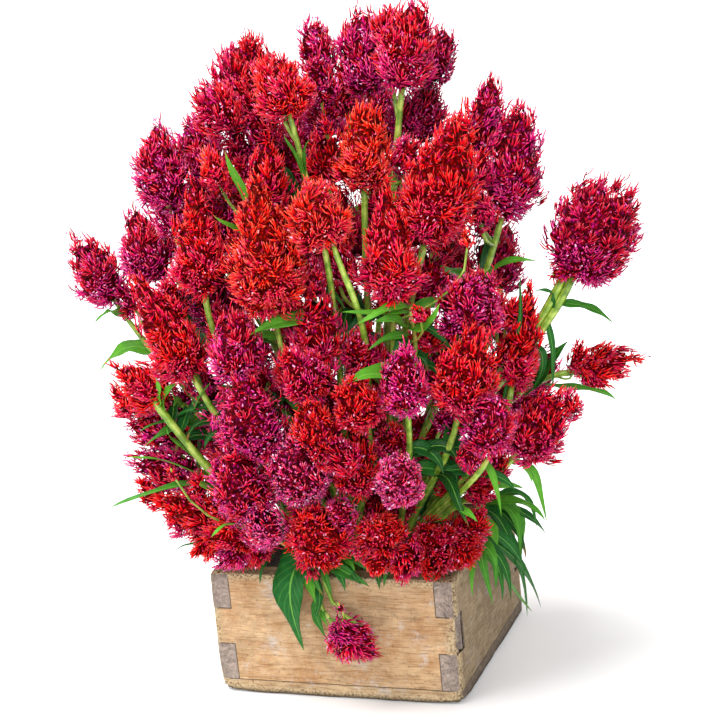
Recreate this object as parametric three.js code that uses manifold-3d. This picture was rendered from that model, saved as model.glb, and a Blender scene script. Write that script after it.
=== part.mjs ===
// Plume celosia planted in an old wooden box: a dense dome of feathery plumes on green branching
// plants, rooted in the soil of a finger-jointed box.
// Millimetres, +Z up. The origin is the middle of the box's underside. +X runs to the right along
// the front of the box, and the front faces -Y.

import * as THREE from "three";
import { mergeVertices } from "three/addons/utils/BufferGeometryUtils.js";
import Module from "manifold-3d";

const wasm = await Module();
wasm.setup();

// ---- The box ----
const BOX_WIDTH = 240;
const BOX_DEPTH = 224;
const BOX_HEIGHT = 122;
const WALL = 19;
const BOTTOM = 14;
const FINGER_LOW = 50; // the lower side finger reaches from the bottom board up to here
const FINGER_HIGH = 86; // the upper side finger reaches from here up to the rim
const SOIL_TOP = 105;

// ---- The plants ----
const ROOT_DEPTH = 45; // how deep a trunk stands in its hole
const TRUNK_RADIUS = 9;
const TRUNK_TOP = 128; // height at which a trunk forks into its stems
const FORK_SPREAD = 0.3; // how far apart the stems leave the trunk, as a part of their spread
const HOLE_CLEARANCE = 0.5;
const STEM_RADIUS = 3.2;
const STEM_SIDES = 4;
const STEM_STEP = 110; // length of a straight stretch of stem
const SEAT_GAP = 0.3; // a stem ends this far under its plume
const CLEARANCE = 0.6; // what any two plumes, or a plume and a stem, leave between them
const BUNCH_OVERLAP = 3; // how deep the plumes of one bunch grow into each other
const STALK_RADIUS = 5; // a side plume's stalk, inside the bunch
const LEAF_THICKNESS = 1.4;

// Where the trunks stand, in the soil.
const PLANTS = {
  left_front: [-52, -42],
  centre_front: [0, -50],
  right_front: [52, -40],
  left_back: [-48, 28],
  centre_left: [-12, 6],
  centre_right: [22, -6],
  right_back: [48, 30],
};

// One row for each plume: its bunch, finish, neck (where its stem ends), tip and girth. The first
// row of a bunch is its main plume, and the others are side plumes that grow together with it.
const PLUMES = [
  ["crown", "crimson", [85, -35, 545], [100, -25, 635], 60],
  ["crown", "crimson", [46, -14, 540], [42, 2, 632], 60],
  ["crown", "plum", [80, 21, 491], [90, 43, 560], 50],
  ["crown", "plum", [97, 17, 545], [115, 38, 612], 40],
  ["crown_left", "magenta", [5, -14, 504], [2, -4, 567], 52],
  ["crown_left", "magenta", [10, -23, 560], [2, -16, 625], 44],
  ["left_tall", "crimson", [-51, -55, 515], [-56, -40, 620], 60],
  ["left_tall", "crimson", [-58, -85, 525], [-75, -105, 582], 50],
  ["left_open", "scarlet", [2, -96, 533], [4, -104, 611], 64],
  ["left_magenta", "magenta", [-123, -98, 461], [-126, -100, 548], 62],
  ["left_magenta", "magenta", [-102, -52, 479], [-115, -45, 548], 58],
  ["left_scarlet", "scarlet", [-75, -144, 389], [-75, -146, 497], 62],
  ["left_scarlet", "scarlet", [-60, -130, 484], [-61, -130, 528], 30],
  ["upper_red", "scarlet", [-28, -100, 454], [-19, -98, 528], 50],
  ["big_orange", "orange", [-8, -150, 374], [-6, -167, 498], 82],
  ["far_left", "magenta", [-191, -87, 373], [-229, -90, 445], 56],
  ["far_left", "magenta", [-155, -82, 388], [-168, -74, 469], 64],
  ["lean_scarlet", "scarlet", [-92, -144, 312], [-131, -163, 420], 62],
  ["flank", "magenta", [-37, -150, 245], [-29, -203, 336], 70],
  ["flank", "magenta", [-41, -165, 318], [-36, -178, 394], 58],
  ["flank", "magenta", [-46, -150, 200], [-43, -207, 268], 68],
  ["heart", "pink", [-2, -140, 210], [13, -197, 279], 62],
  ["heart", "pink", [-35, -150, 175], [-22, -200, 216], 44],
  ["centre_red", "scarlet", [22, -150, 250], [35, -207, 319], 56],
  ["core", "crimson", [23, -135, 324], [44, -149, 416], 56],
  ["core", "crimson", [24, -150, 302], [17, -185, 364], 54],
  ["core", "crimson", [55, -123, 317], [67, -130, 370], 44],
  ["front_star", "scarlet", [4, -120, 162], [26, -205, 208], 76],
  ["top_orange", "orange", [42, -146, 436], [45, -174, 505], 66],
  ["centre_scarlet", "scarlet", [91, -125, 377], [96, -131, 482], 66],
  ["high_orange", "orange", [61, -87, 466], [67, -79, 556], 58],
  ["right_scarlet", "scarlet", [106, -81, 412], [151, -69, 546], 80],
  ["right_magenta", "magenta", [158, -9, 421], [189, 10, 535], 66],
  ["right_magenta", "magenta", [136, 20, 475], [150, 38, 556], 46],
  ["right_under", "plum", [143, 31, 349], [152, 47, 426], 50],
  ["right_under", "plum", [120, 68, 350], [148, 98, 435], 64],
  ["lone_big", "magenta", [223, -21, 366], [272, 2, 465], 86],
  ["far_right", "scarlet", [204, 18, 280], [279, 34, 292], 48],
  ["round_crimson", "magenta", [140, -80, 345], [170, -125, 409], 70],
  ["mid_red", "scarlet", [62, -140, 280], [69, -195, 334], 52],
  ["mid_magenta", "magenta", [103, -145, 285], [109, -166, 356], 48],
  ["right_fire", "scarlet", [140, -120, 278], [168, -134, 367], 70],
  ["right_rose", "magenta", [155, -105, 245], [184, -143, 307], 58],
  ["right_rose", "magenta", [145, -105, 225], [152, -135, 262], 30],
  ["dusk_red", "scarlet", [169, -53, 276], [192, -37, 376], 48],
  ["dusk_crimson", "crimson", [170, -60, 222], [228, -65, 288], 66],
  ["front_red", "scarlet", [58, -110, 152], [76, -172, 200], 62],
  ["front_red", "scarlet", [42, -135, 204], [55, -140, 281], 50],
  ["low_pink", "pink", [90, -140, 212], [107, -199, 261], 58],
  ["corner", "scarlet", [95, -95, 145], [128, -150, 180], 60],
  ["corner", "scarlet", [122, -88, 155], [158, -116, 192], 48],
  ["corner", "scarlet", [132, -75, 182], [153, -75, 234], 42],
  ["low_left_red", "scarlet", [-130, -115, 290], [-175, -151, 333], 58],
  ["left_pink", "magenta", [-125, -80, 205], [-198, -119, 238], 52],
  ["left_pink", "magenta", [-145, -85, 240], [-194, -106, 278], 48],
  ["rim_left", "scarlet", [-55, -100, 155], [-90, -178, 182], 60],
  ["rim_left", "scarlet", [-88, -105, 170], [-148, -155, 208], 56],
  ["hanging", "magenta", [8, -132, 85], [53, -144, 55], 50],
  ["back_crown", "magenta", [20, 55, 475], [15, 95, 570], 76],
  ["back_crown", "magenta", [-38, 45, 465], [-55, 78, 552], 68],
  ["back_left", "scarlet", [-110, 15, 395], [-142, 42, 490], 74],
  ["back_left", "scarlet", [-78, 55, 375], [-98, 90, 465], 74],
  ["back_heart", "crimson", [10, 85, 360], [8, 130, 450], 80],
  ["back_heart", "crimson", [68, 85, 335], [82, 128, 415], 70],
  ["back_right", "scarlet", [85, 55, 425], [98, 95, 515], 72],
  ["back_left_low", "magenta", [-115, 50, 265], [-170, 82, 335], 74],
  ["back_left_low", "magenta", [-78, 80, 262], [-115, 128, 328], 72],
  ["back_low", "scarlet", [-8, 100, 225], [-12, 165, 300], 82],
  ["back_low", "scarlet", [50, 100, 232], [66, 158, 304], 74],
  ["back_right_low", "magenta", [122, 55, 228], [182, 85, 288], 74],
  ["back_right_low", "magenta", [105, 85, 180], [155, 135, 232], 72],
  ["back_rim", "crimson", [-38, 82, 150], [-68, 150, 200], 76],
  ["back_rim", "crimson", [15, 84, 152], [28, 156, 200], 76],
  ["left_back_low", "crimson", [-100, 5, 185], [-180, 12, 228], 76],
  ["left_back_mid", "magenta", [-140, -20, 290], [-195, -22, 365], 72],
];

// Leafy shoots with no plume: where each ends, and a point beyond its end that it heads for.
const SHOOTS = [
  ["side_shoot", [116, 35, 146], [146, 40, 172]],
  ["rim_shoot", [113, -30, 145], [143, -22, 171]],
  ["fan_shoot", [105, -122, 378], [99, -125, 408]],
];

// The leaves that lie free of the plumes: the stem that each springs from, how far up it, the point
// that pulls its rib into an arc, its tip, and its width.
const FREE_LEAVES = [
  ["hanging", 0.42, [-34, -150, 150], [-30, -124, 52], 34],
  ["hanging", 0.5, [-12, -140, 132], [-9, -126, 98], 14],
  ["hanging", 0.55, [28, -142, 150], [46, -132, 120], 13],
  ["hanging", 0.45, [40, -140, 165], [55, -138, 138], 12],
  ["hanging", 0.8, [-12, -135, 92], [-2, -128, 68], 9],
  ["big_orange", 0.97, [2, -166, 388], [-17, -172, 360], 20],
  ["fan_shoot", 0.88, [86, -155, 360], [62, -182, 343], 20],
  ["fan_shoot", 1, [90, -150, 394], [70, -160, 370], 12],
  ["fan_shoot", 0.98, [78, -148, 386], [54, -158, 378], 11],
  ["fan_shoot", 0.92, [100, -148, 376], [84, -152, 374], 11],
  ["fan_shoot", 0.93, [122, -132, 362], [134, -132, 382], 13],
  ["fan_shoot", 0.9, [88, -140, 356], [74, -150, 350], 11],
  ["low_left_red", 0.9, [-98, -148, 300], [-76, -154, 316], 9],
  ["left_pink", 0.75, [-135, -165, 250], [-180, -178, 206], 14],
  ["right_magenta", 0.8, [165, -38, 408], [200, -30, 398], 9],
  ["lone_big", 0.95, [240, -20, 354], [262, -22, 338], 9],
  ["far_left", 0.97, [-186, -112, 384], [-202, -118, 366], 12],
  ["far_right", 0.9, [235, -15, 275], [262, -30, 268], 9],
  ["low_pink", 0.9, [122, -152, 224], [160, -150, 198], 10],
  ["dusk_crimson", 0.95, [188, -18, 208], [190, -34, 150], 9],
  ["right_rose", 0.9, [170, -98, 228], [163, -96, 178], 7],
  ["side_shoot", 1, [152, 62, 142], [142, 40, 78], 13],
  ["side_shoot", 0.9, [144, 52, 140], [134, 72, 65], 13],
  ["side_shoot", 0.95, [144, 15, 134], [142, 45, 22], 13],
  ["side_shoot", 1, [152, 58, 166], [162, 45, 116], 9],
  ["rim_shoot", 1, [144, -20, 152], [140, -48, 108], 14],
  ["rim_shoot", 0.95, [148, -20, 130], [160, 40, 36], 12],
  ["rim_shoot", 0.9, [146, -58, 124], [150, 38, 34], 12],
  ["rim_shoot", 1, [142, -68, 138], [136, -56, 76], 10],
];

// A stem that climbs over the rim and down outside the box needs bends of its own.
const OWN_BENDS = {
  hanging: [[-12, -102, 190], [-20, -126, 104]],
};

const FINISHES = {
  old_wood: { color: 0xb98d5c, roughness: 0.85 },
  soil: { color: 0x2b2019, roughness: 0.95 },
  greenery: { color: 0x5f8f3a, roughness: 0.6 },
  scarlet: { color: 0xb3121a, roughness: 0.7 },
  crimson: { color: 0x97102c, roughness: 0.7 },
  magenta: { color: 0x9c1650, roughness: 0.7 },
  plum: { color: 0x6e0f3c, roughness: 0.7 },
  orange: { color: 0xcf3420, roughness: 0.7 },
  pink: { color: 0xc23a6e, roughness: 0.7 },
};

const object = new THREE.Group();
object.name = "plume_celosia";

// Every random draw comes from this seeded sequence, in the order in which pieces are made.
let seed = 20251;
function draw(low, high) {
  seed = (seed * 1664525 + 1013904223) % 4294967296;
  return low + ((high - low) * seed) / 4294967296;
}

const vector = (list) => new THREE.Vector3(...list);

// ---- Solids ----

// Merges the shared corners of a closed geometry.
function closed(geometry) {
  geometry.deleteAttribute("normal");
  geometry.deleteAttribute("uv");
  return mergeVertices(geometry, 1e-4);
}

function toSolid(geometry) {
  const mesh = closed(geometry);
  return new wasm.Manifold(
    new wasm.Mesh({
      numProp: 3,
      vertProperties: new Float32Array(mesh.attributes.position.array),
      triVerts: new Uint32Array(mesh.index.array),
    }),
  );
}

function toGeometry(solid) {
  const mesh = solid.getMesh();
  const geometry = new THREE.BufferGeometry();
  geometry.setAttribute("position", new THREE.BufferAttribute(mesh.vertProperties, 3));
  geometry.setIndex(new THREE.BufferAttribute(mesh.triVerts, 1));
  return geometry;
}

function joined(solids) {
  return solids.reduce((whole, solid) => whole.add(solid));
}

function addNode(name, geometry, finish) {
  geometry.computeVertexNormals();
  const material = new THREE.MeshStandardMaterial({ ...FINISHES[finish], metalness: 0 });
  material.name = finish;
  const mesh = new THREE.Mesh(geometry, material);
  mesh.name = name;
  object.add(mesh);
}

// ---- The box: four finger-jointed boards on a bottom board ----

// A board cut from an outline in its own plane, one wall thick.
function board(outline) {
  const shape = new THREE.Shape(outline.map(([x, y]) => new THREE.Vector2(x, y)));
  return new THREE.ExtrudeGeometry(shape, { depth: WALL, bevelEnabled: false });
}

// A board's outline, from its half length at the rim and its half length at mid height, where the
// fingers of two boards cross: the end is a tongue if the second is longer, or else a notch.
function boardOutline(atRim, atMiddle) {
  const right = [
    [atRim, BOTTOM],
    [atRim, FINGER_LOW],
    [atMiddle, FINGER_LOW],
    [atMiddle, FINGER_HIGH],
    [atRim, FINGER_HIGH],
    [atRim, BOX_HEIGHT],
  ];
  const left = right.map(([x, z]) => [-x, z]).reverse();
  return [...right, ...left];
}

function makeBox() {
  const halfWidth = BOX_WIDTH / 2;
  const halfDepth = BOX_DEPTH / 2;

  const tongued = () => board(boardOutline(halfWidth - WALL, halfWidth)).rotateX(Math.PI / 2);
  addNode("front_board", tongued().translate(0, WALL - halfDepth, 0), "old_wood");
  addNode("back_board", tongued().translate(0, halfDepth, 0), "old_wood");

  const notched = () => board(boardOutline(halfDepth, halfDepth - WALL)).rotateX(Math.PI / 2);
  addNode("left_board", notched().rotateZ(Math.PI / 2).translate(-halfWidth, 0, 0), "old_wood");
  const onRight = halfWidth - WALL;
  addNode("right_board", notched().rotateZ(Math.PI / 2).translate(onRight, 0, 0), "old_wood");

  const bottom = new THREE.BoxGeometry(BOX_WIDTH, BOX_DEPTH, BOTTOM).translate(0, 0, BOTTOM / 2);
  addNode("bottom_board", bottom, "old_wood");
}

// ---- The soil, with a plain hole for each trunk ----

const TRUNK_SIDES = 6;

function upright(radius, low, high, [x, y]) {
  const post = new THREE.CylinderGeometry(radius, radius, high - low, TRUNK_SIDES);
  return post.rotateX(Math.PI / 2).translate(x, y, (low + high) / 2);
}

function makeSoil() {
  const depth = SOIL_TOP - BOTTOM;
  const fill = new THREE.BoxGeometry(BOX_WIDTH - 2 * WALL, BOX_DEPTH - 2 * WALL, depth);
  const block = toSolid(fill.translate(0, 0, BOTTOM + depth / 2));
  const holes = Object.values(PLANTS).map((place) =>
    toSolid(upright(TRUNK_RADIUS + HOLE_CLEARANCE, SOIL_TOP - ROOT_DEPTH, SOIL_TOP + 5, place)),
  );
  addNode("soil", toGeometry(block.subtract(joined(holes))), "soil");
}

// ---- Where the plumes and stems go ----

const heads = PLUMES.map(([bunch, finish, neck, tip, girth]) => {
  const head = { bunch, finish, girth, neck: vector(neck), tip: vector(tip) };
  head.axis = head.tip.clone().sub(head.neck).normalize();
  head.length = head.tip.distanceTo(head.neck);
  const along = (part) => head.neck.clone().addScaledVector(head.axis, part * head.length);
  head.heart = along(0.3); // the point that its florets grow away from
  head.middle = along(0.5);
  head.spine = new THREE.Line3(along(0.18), along(0.8));
  return head;
});

const bunches = [...new Set(heads.map((head) => head.bunch))].map((name) => {
  const own = heads.filter((head) => head.bunch === name);
  return { name, heads: own, end: own[0].neck, axis: own[0].axis };
});

// Every stem: one for each bunch of plumes, and one for each shoot.
const stems = [...bunches];
for (const [name, end, beyond] of SHOOTS) {
  const axis = vector(beyond).sub(vector(end)).normalize();
  stems.push({ name, heads: [], end: vector(end), axis });
}

// Stems spread from the soil like a fountain, so a plume's place is followed back down to the soil
// to find the plant that it belongs to.
const FOUNTAIN_FOOT = 88;
function placeInSoil(point) {
  const spread = Math.sqrt((SOIL_TOP - FOUNTAIN_FOOT) / Math.max(point.z - FOUNTAIN_FOOT, 30));
  return new THREE.Vector2(point.x, point.y).multiplyScalar(spread);
}

function nearestPlant(point) {
  const place = placeInSoil(point);
  const distance = (name) => place.distanceTo(new THREE.Vector2(...PLANTS[name]));
  return Object.keys(PLANTS).reduce((best, name) => (distance(name) < distance(best) ? name : best));
}

// A stem is one cubic arc: it leaves the fork upward, and arrives along its plume's axis.
function stemCurve({ name, plant, end, axis }) {
  const trunk = new THREE.Vector2(...PLANTS[plant]);
  const spread = placeInSoil(end).sub(trunk).multiplyScalar(FORK_SPREAD);
  trunk.add(spread.clampLength(0, TRUNK_RADIUS - 2));
  const fork = new THREE.Vector3(trunk.x, trunk.y, TRUNK_TOP - 8);
  const handle = THREE.MathUtils.clamp(0.3 * fork.distanceTo(end), 25, 70);
  const bends = OWN_BENDS[name]?.map(vector) ?? [
    new THREE.Vector3(
      THREE.MathUtils.lerp(fork.x, end.x, 0.25),
      THREE.MathUtils.lerp(fork.y, end.y, 0.25),
      THREE.MathUtils.lerp(fork.z, end.z, 0.4),
    ),
    end.clone().addScaledVector(axis, -handle),
  ];
  return new THREE.CubicBezierCurve3(fork, ...bends, end);
}

for (const stem of stems) {
  stem.plant = nearestPlant(stem.end);
  stem.curve = stemCurve(stem);
  const fewest = stem.name in OWN_BENDS ? 8 : 3;
  stem.steps = Math.max(fewest, Math.round(stem.curve.getLength() / STEM_STEP));
  const points = stem.curve.getSpacedPoints(stem.steps);
  stem.segments = points.slice(1).map((point, i) => new THREE.Line3(points[i], point));
}

// ---- Plumes ----

// The planes that keep a plume clear of its neighbours, of passing stems and of the box. Each has
// the plume on the side that its normal points to.
function wallsOf(head) {
  const walls = [];
  const near = new THREE.Vector3();
  const far = new THREE.Vector3();
  const addWall = (line, share) => {
    const distance = Math.sqrt(head.spine.distanceSqToLine3(line, near, far));
    const normal = near.clone().sub(far).normalize();
    const foot = far.clone().addScaledVector(normal, share(distance));
    walls.push(new THREE.Plane().setFromNormalAndCoplanarPoint(normal, foot));
  };

  for (const other of heads) {
    if (other === head) continue;
    const part = other.girth / (other.girth + head.girth);
    const room = other.bunch === head.bunch ? -BUNCH_OVERLAP / 2 : CLEARANCE / 2;
    addWall(other.spine, (distance) => distance * part + room);
  }
  for (const stem of stems) {
    if (stem.heads[0] === head) continue;
    for (const segment of stem.segments) addWall(segment, () => STEM_RADIUS + CLEARANCE);
  }

  const half = new THREE.Vector3(BOX_WIDTH / 2, BOX_DEPTH / 2, BOX_HEIGHT);
  const block = new THREE.Box3(new THREE.Vector3(-half.x, -half.y, 0), half);
  const touch = block.clampPoint(head.middle, new THREE.Vector3());
  const away = head.middle.clone().sub(touch).normalize();
  touch.addScaledVector(away, CLEARANCE);
  walls.push(new THREE.Plane().setFromNormalAndCoplanarPoint(away, touch));

  const seat = head.neck.clone().addScaledVector(head.axis, SEAT_GAP);
  walls.push(new THREE.Plane().setFromNormalAndCoplanarPoint(head.axis, seat));
  return walls;
}

// How far the plume reaches from its heart in a direction: an ovoid that narrows to the tip.
function reachOf(head, direction) {
  const a = head.length / 2;
  const b = head.girth / 2;
  const up = direction.dot(head.axis);
  const offset = -0.2 * head.length; // from the ovoid's middle down to the heart
  const along = (up / a) ** 2 + (1 - up * up) / b ** 2;
  const cross = (up * offset) / a ** 2;
  const rest = (offset / a) ** 2 - 1;
  const ovoid = (-cross + Math.sqrt(cross * cross - along * rest)) / along;
  return ovoid * (1 - 0.14 * Math.sin(Math.PI * Math.max(up, 0)));
}

// The fewer florets the smaller the plume; each floret is a three-sided spike on one face of this.
function floretBase(head) {
  if (head.length * head.girth > 8200) return new THREE.IcosahedronGeometry(1, 1);
  if (head.length * head.girth > 4700) return new THREE.SphereGeometry(1, 6, 5);
  return new THREE.OctahedronGeometry(1, 1);
}

const FLORET_DEPTH = 0.42; // how deep the florets stand, as a part of half the plume's girth
const CROWDED = 0.3; // a floret with less than this part of its length left isn't raised

function makePlume(head) {
  const walls = wallsOf(head);
  const base = closed(floretBase(head));
  const corner = new THREE.Vector3().fromBufferAttribute(base.attributes.position, 0).normalize();
  const turn = new THREE.Quaternion().setFromAxisAngle(head.axis, draw(0, Math.PI));
  turn.multiply(new THREE.Quaternion().setFromUnitVectors(corner, head.axis.clone().negate()));

  // A point as far from the heart as asked, drawn in until it is clear of every wall.
  const placed = (direction, reach) => {
    let room = reach;
    for (const wall of walls) {
      const toward = -wall.normal.dot(direction);
      if (toward > 0) room = Math.min(room, wall.distanceToPoint(head.heart) / toward);
    }
    return head.heart.clone().addScaledVector(direction, room);
  };

  // The corners lie between the florets, on an inner ovoid.
  const depth = (FLORET_DEPTH * head.girth) / 2;
  const across = head.girth / 2 - depth;
  const stretch = (head.length / 2 - depth) / across - 1;
  const points = [];
  for (let i = 0; i < base.attributes.position.count; i += 1) {
    const place = new THREE.Vector3().fromBufferAttribute(base.attributes.position, i);
    place.applyQuaternion(turn).normalize();
    const up = place.dot(head.axis);
    if (Math.abs(up) > 0.999) {
      const end = head.axis.clone().multiplyScalar(Math.sign(up));
      points.push(placed(end, head.length));
      if (up > 0) points[i].copy(head.tip);
      continue;
    }
    place.addScaledVector(head.axis, up * stretch).multiplyScalar(across * draw(0.94, 1.06));
    const direction = place.add(head.middle).sub(head.heart);
    const reach = direction.length();
    points.push(placed(direction.normalize(), reach));
  }

  const faces = [];
  for (let i = 0; i < base.index.count; i += 3) {
    const [a, b, c] = [0, 1, 2].map((k) => base.index.getX(i + k));
    const foot = points[a].clone().add(points[b]).add(points[c]).divideScalar(3).sub(head.heart);
    const low = foot.length();
    const up = foot.normalize();
    const tip = placed(up, reachOf(head, up) * draw(0.92, 1.06));
    const length = tip.distanceTo(head.heart) - low;
    // Around the stem, and where a neighbour takes its room, the face stays bare.
    if (up.dot(head.axis) < -0.9 || length < CROWDED * depth) {
      faces.push(a, b, c);
      continue;
    }
    const top = points.push(tip) - 1;
    faces.push(a, b, top, b, c, top, c, a, top);
  }

  const geometry = new THREE.BufferGeometry().setFromPoints(points);
  geometry.setIndex(faces);
  return geometry;
}

// The stalk that carries a side plume, from the axis of the main plume to the side plume's heart.
function makeStalk(head, main) {
  const foot = main.spine.closestPointToPoint(head.heart, true, new THREE.Vector3());
  const way = head.heart.clone().sub(foot);
  const stalk = new THREE.CylinderGeometry(STALK_RADIUS, STALK_RADIUS, way.length(), 4);
  const turn = new THREE.Quaternion().setFromUnitVectors(object.up, way.clone().normalize());
  const middle = foot.addScaledVector(way, 0.5);
  return stalk.applyQuaternion(turn).translate(...middle);
}

function makePlumes() {
  for (const bunch of bunches) {
    const [main, ...sides] = bunch.heads;
    let whole = joined(bunch.heads.map((head) => toSolid(makePlume(head))));
    if (whole.decompose().length > 1) {
      whole = whole.add(joined(sides.map((side) => toSolid(makeStalk(side, main)))));
    }
    addNode(`plume_${bunch.name}`, toGeometry(whole), main.finish);
  }
}

// ---- Leaves ----

const LEAF_STATIONS = 3;

// A lance-shaped blade on a bent rib: a four-cornered ring that swells and narrows to a point.
function makeLeaf({ rib, width, face }) {
  const blade = new THREE.ConeGeometry(1, 1, 4, LEAF_STATIONS);
  const position = blade.attributes.position;
  const point = new THREE.Vector3();
  for (let i = 0; i < position.count; i += 1) {
    point.fromBufferAttribute(position, i);
    const part = point.y + 0.5;
    const around = Math.hypot(point.x, point.z) > 1e-6 ? Math.atan2(point.x, point.z) : null;
    const tangent = rib.getTangent(part);
    const side = tangent.clone().cross(face).normalize();
    const over = side.clone().cross(tangent);
    const swell = Math.sin(Math.PI * (0.12 + 0.88 * part) ** 0.8);
    rib.getPoint(part, point);
    if (around !== null) {
      point.addScaledVector(side, Math.sin(around) * (width / 2) * swell);
      point.addScaledVector(over, Math.cos(around) * (LEAF_THICKNESS / 2) * (0.6 + 0.4 * swell));
    }
    position.setXYZ(i, ...point);
  }
  return blade;
}

// Leaves show their upper face outward and up.
function faceOf(root) {
  return new THREE.Vector3(root.x, root.y, 0).setLength(0.8).setZ(1).normalize();
}

// The points that a leaf is tested at: along its rib and both edges.
function leafPoints(leaf) {
  return [0.25, 0.4, 0.55, 0.7, 0.85, 1].flatMap((part) => {
    const middle = leaf.rib.getPoint(part);
    const side = leaf.rib.getTangent(part).cross(leaf.face).normalize();
    const reach = (leaf.width / 2) * Math.sin(Math.PI * (0.12 + 0.88 * part) ** 0.8);
    return [-1, 0, 1].map((sign) => middle.clone().addScaledVector(side, sign * reach));
  });
}

const LEAF_TO_PLUME = 4;
const LEAF_TO_STEM = 6;
const LEAF_TO_LEAF = 10;
const LEAF_TO_BOX = 3;

function isClear(leaf, placedLeaves) {
  const points = leafPoints(leaf);
  const local = new THREE.Vector3();
  const nearest = new THREE.Vector3();
  const block = new THREE.Box3(
    new THREE.Vector3(-BOX_WIDTH / 2, -BOX_DEPTH / 2, 0),
    new THREE.Vector3(BOX_WIDTH / 2, BOX_DEPTH / 2, BOX_HEIGHT),
  );
  return points.every((point) => {
    if (block.distanceToPoint(point) < LEAF_TO_BOX) return false;
    for (const head of heads) {
      local.subVectors(point, head.middle);
      const along = local.dot(head.axis);
      const across = Math.sqrt(Math.max(local.lengthSq() - along * along, 0));
      const a = head.length / 2 + LEAF_TO_PLUME;
      const b = head.girth / 2 + LEAF_TO_PLUME;
      if ((along / a) ** 2 + (across / b) ** 2 < 1) return false;
    }
    for (const stem of stems) {
      if (stem === leaf.stem) continue;
      for (const segment of stem.segments) {
        segment.closestPointToPoint(point, true, nearest);
        if (nearest.distanceTo(point) < LEAF_TO_STEM) return false;
      }
    }
    return placedLeaves.every((other) =>
      other.points.every((taken) => taken.distanceTo(point) > LEAF_TO_LEAF),
    );
  });
}

// The point at a part of a stem's length, on its straight stretches.
function stemPoint(stem, part) {
  const place = part * stem.steps;
  const stretch = Math.min(Math.floor(place), stem.steps - 1);
  return stem.segments[stretch].at(place - stretch, new THREE.Vector3());
}

function leafOn(stem, part, bend, tip, width) {
  const root = stemPoint(stem, part);
  const rib = new THREE.QuadraticBezierCurve3(root, bend, tip);
  return { stem, rib, width, face: faceOf(root) };
}

const GOLDEN_TURN = Math.PI * (3 - Math.sqrt(5));
const LEAF_PARTS = [0.62, 0.82]; // how far up its stem a leaf may grow

// The leaves that a stem may carry: each goes out to its own side and droops.
function stemLeaves(stem, index) {
  return LEAF_PARTS.map((part, k) => {
    const angle = (index * LEAF_PARTS.length + k) * GOLDEN_TURN;
    const out = new THREE.Vector3(Math.cos(angle), Math.sin(angle), 0);
    const length = draw(45, 80);
    const lift = draw(8, 20);
    const root = stemPoint(stem, part);
    const bend = root.clone().addScaledVector(out, length / 2);
    const tip = root.clone().addScaledVector(out, length);
    bend.z += lift;
    tip.z += lift - draw(5, 40);
    return leafOn(stem, part, bend, tip, draw(10, 17));
  });
}

function makeLeaves() {
  const leaves = FREE_LEAVES.map(([name, part, bend, tip, width]) => {
    const stem = stems.find((one) => one.name === name);
    return leafOn(stem, part, vector(bend), vector(tip), width);
  });
  for (const leaf of leaves) leaf.points = leafPoints(leaf);
  stems.forEach((stem, index) => {
    for (const leaf of stemLeaves(stem, index)) {
      if (!isClear(leaf, leaves)) continue;
      leaf.points = leafPoints(leaf);
      leaves.push(leaf);
    }
  });
  return leaves;
}

function makeStem(stem) {
  const ring = Array.from({ length: STEM_SIDES }, (_, i) => (i * 2 * Math.PI) / STEM_SIDES);
  const section = new THREE.Shape(
    ring.map((a) => new THREE.Vector2(Math.cos(a), Math.sin(a)).multiplyScalar(STEM_RADIUS)),
  );
  const { steps, curve } = stem;
  return new THREE.ExtrudeGeometry(section, { steps, extrudePath: curve, bevelEnabled: false });
}

function makePlants() {
  const leaves = makeLeaves();
  for (const [plant, place] of Object.entries(PLANTS)) {
    const parts = [
      upright(TRUNK_RADIUS, SOIL_TOP - ROOT_DEPTH, TRUNK_TOP, place),
      ...stems.filter((stem) => stem.plant === plant).map(makeStem),
      ...leaves.filter((leaf) => leaf.stem.plant === plant).map(makeLeaf),
    ];
    addNode(`plant_${plant}`, toGeometry(joined(parts.map(toSolid))), "greenery");
  }
}

makeBox();
makeSoil();
makePlumes();
makePlants();

export default object;
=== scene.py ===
# %% [markdown]
# # Plume celosia in an old wooden box
#
# A box of living flowers: seven celosia plants are rooted in soil, and their stems fork and spread
# into a dome of feathery plumes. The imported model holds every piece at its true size, in one frame:
# metres, Z up, with the origin in the middle of the box's underside and the front facing -Y.
#
# A packed plume is a body with a few dozen coarse spikes. A real one is a brush of a thousand thin
# bristles. This lesson builds the fine pieces in the places that the coarse ones hold.

# %% Load the frame
import math
from types import SimpleNamespace

import bmesh
import bpy
import numpy as np
from mathutils import Matrix, Vector, noise


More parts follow.
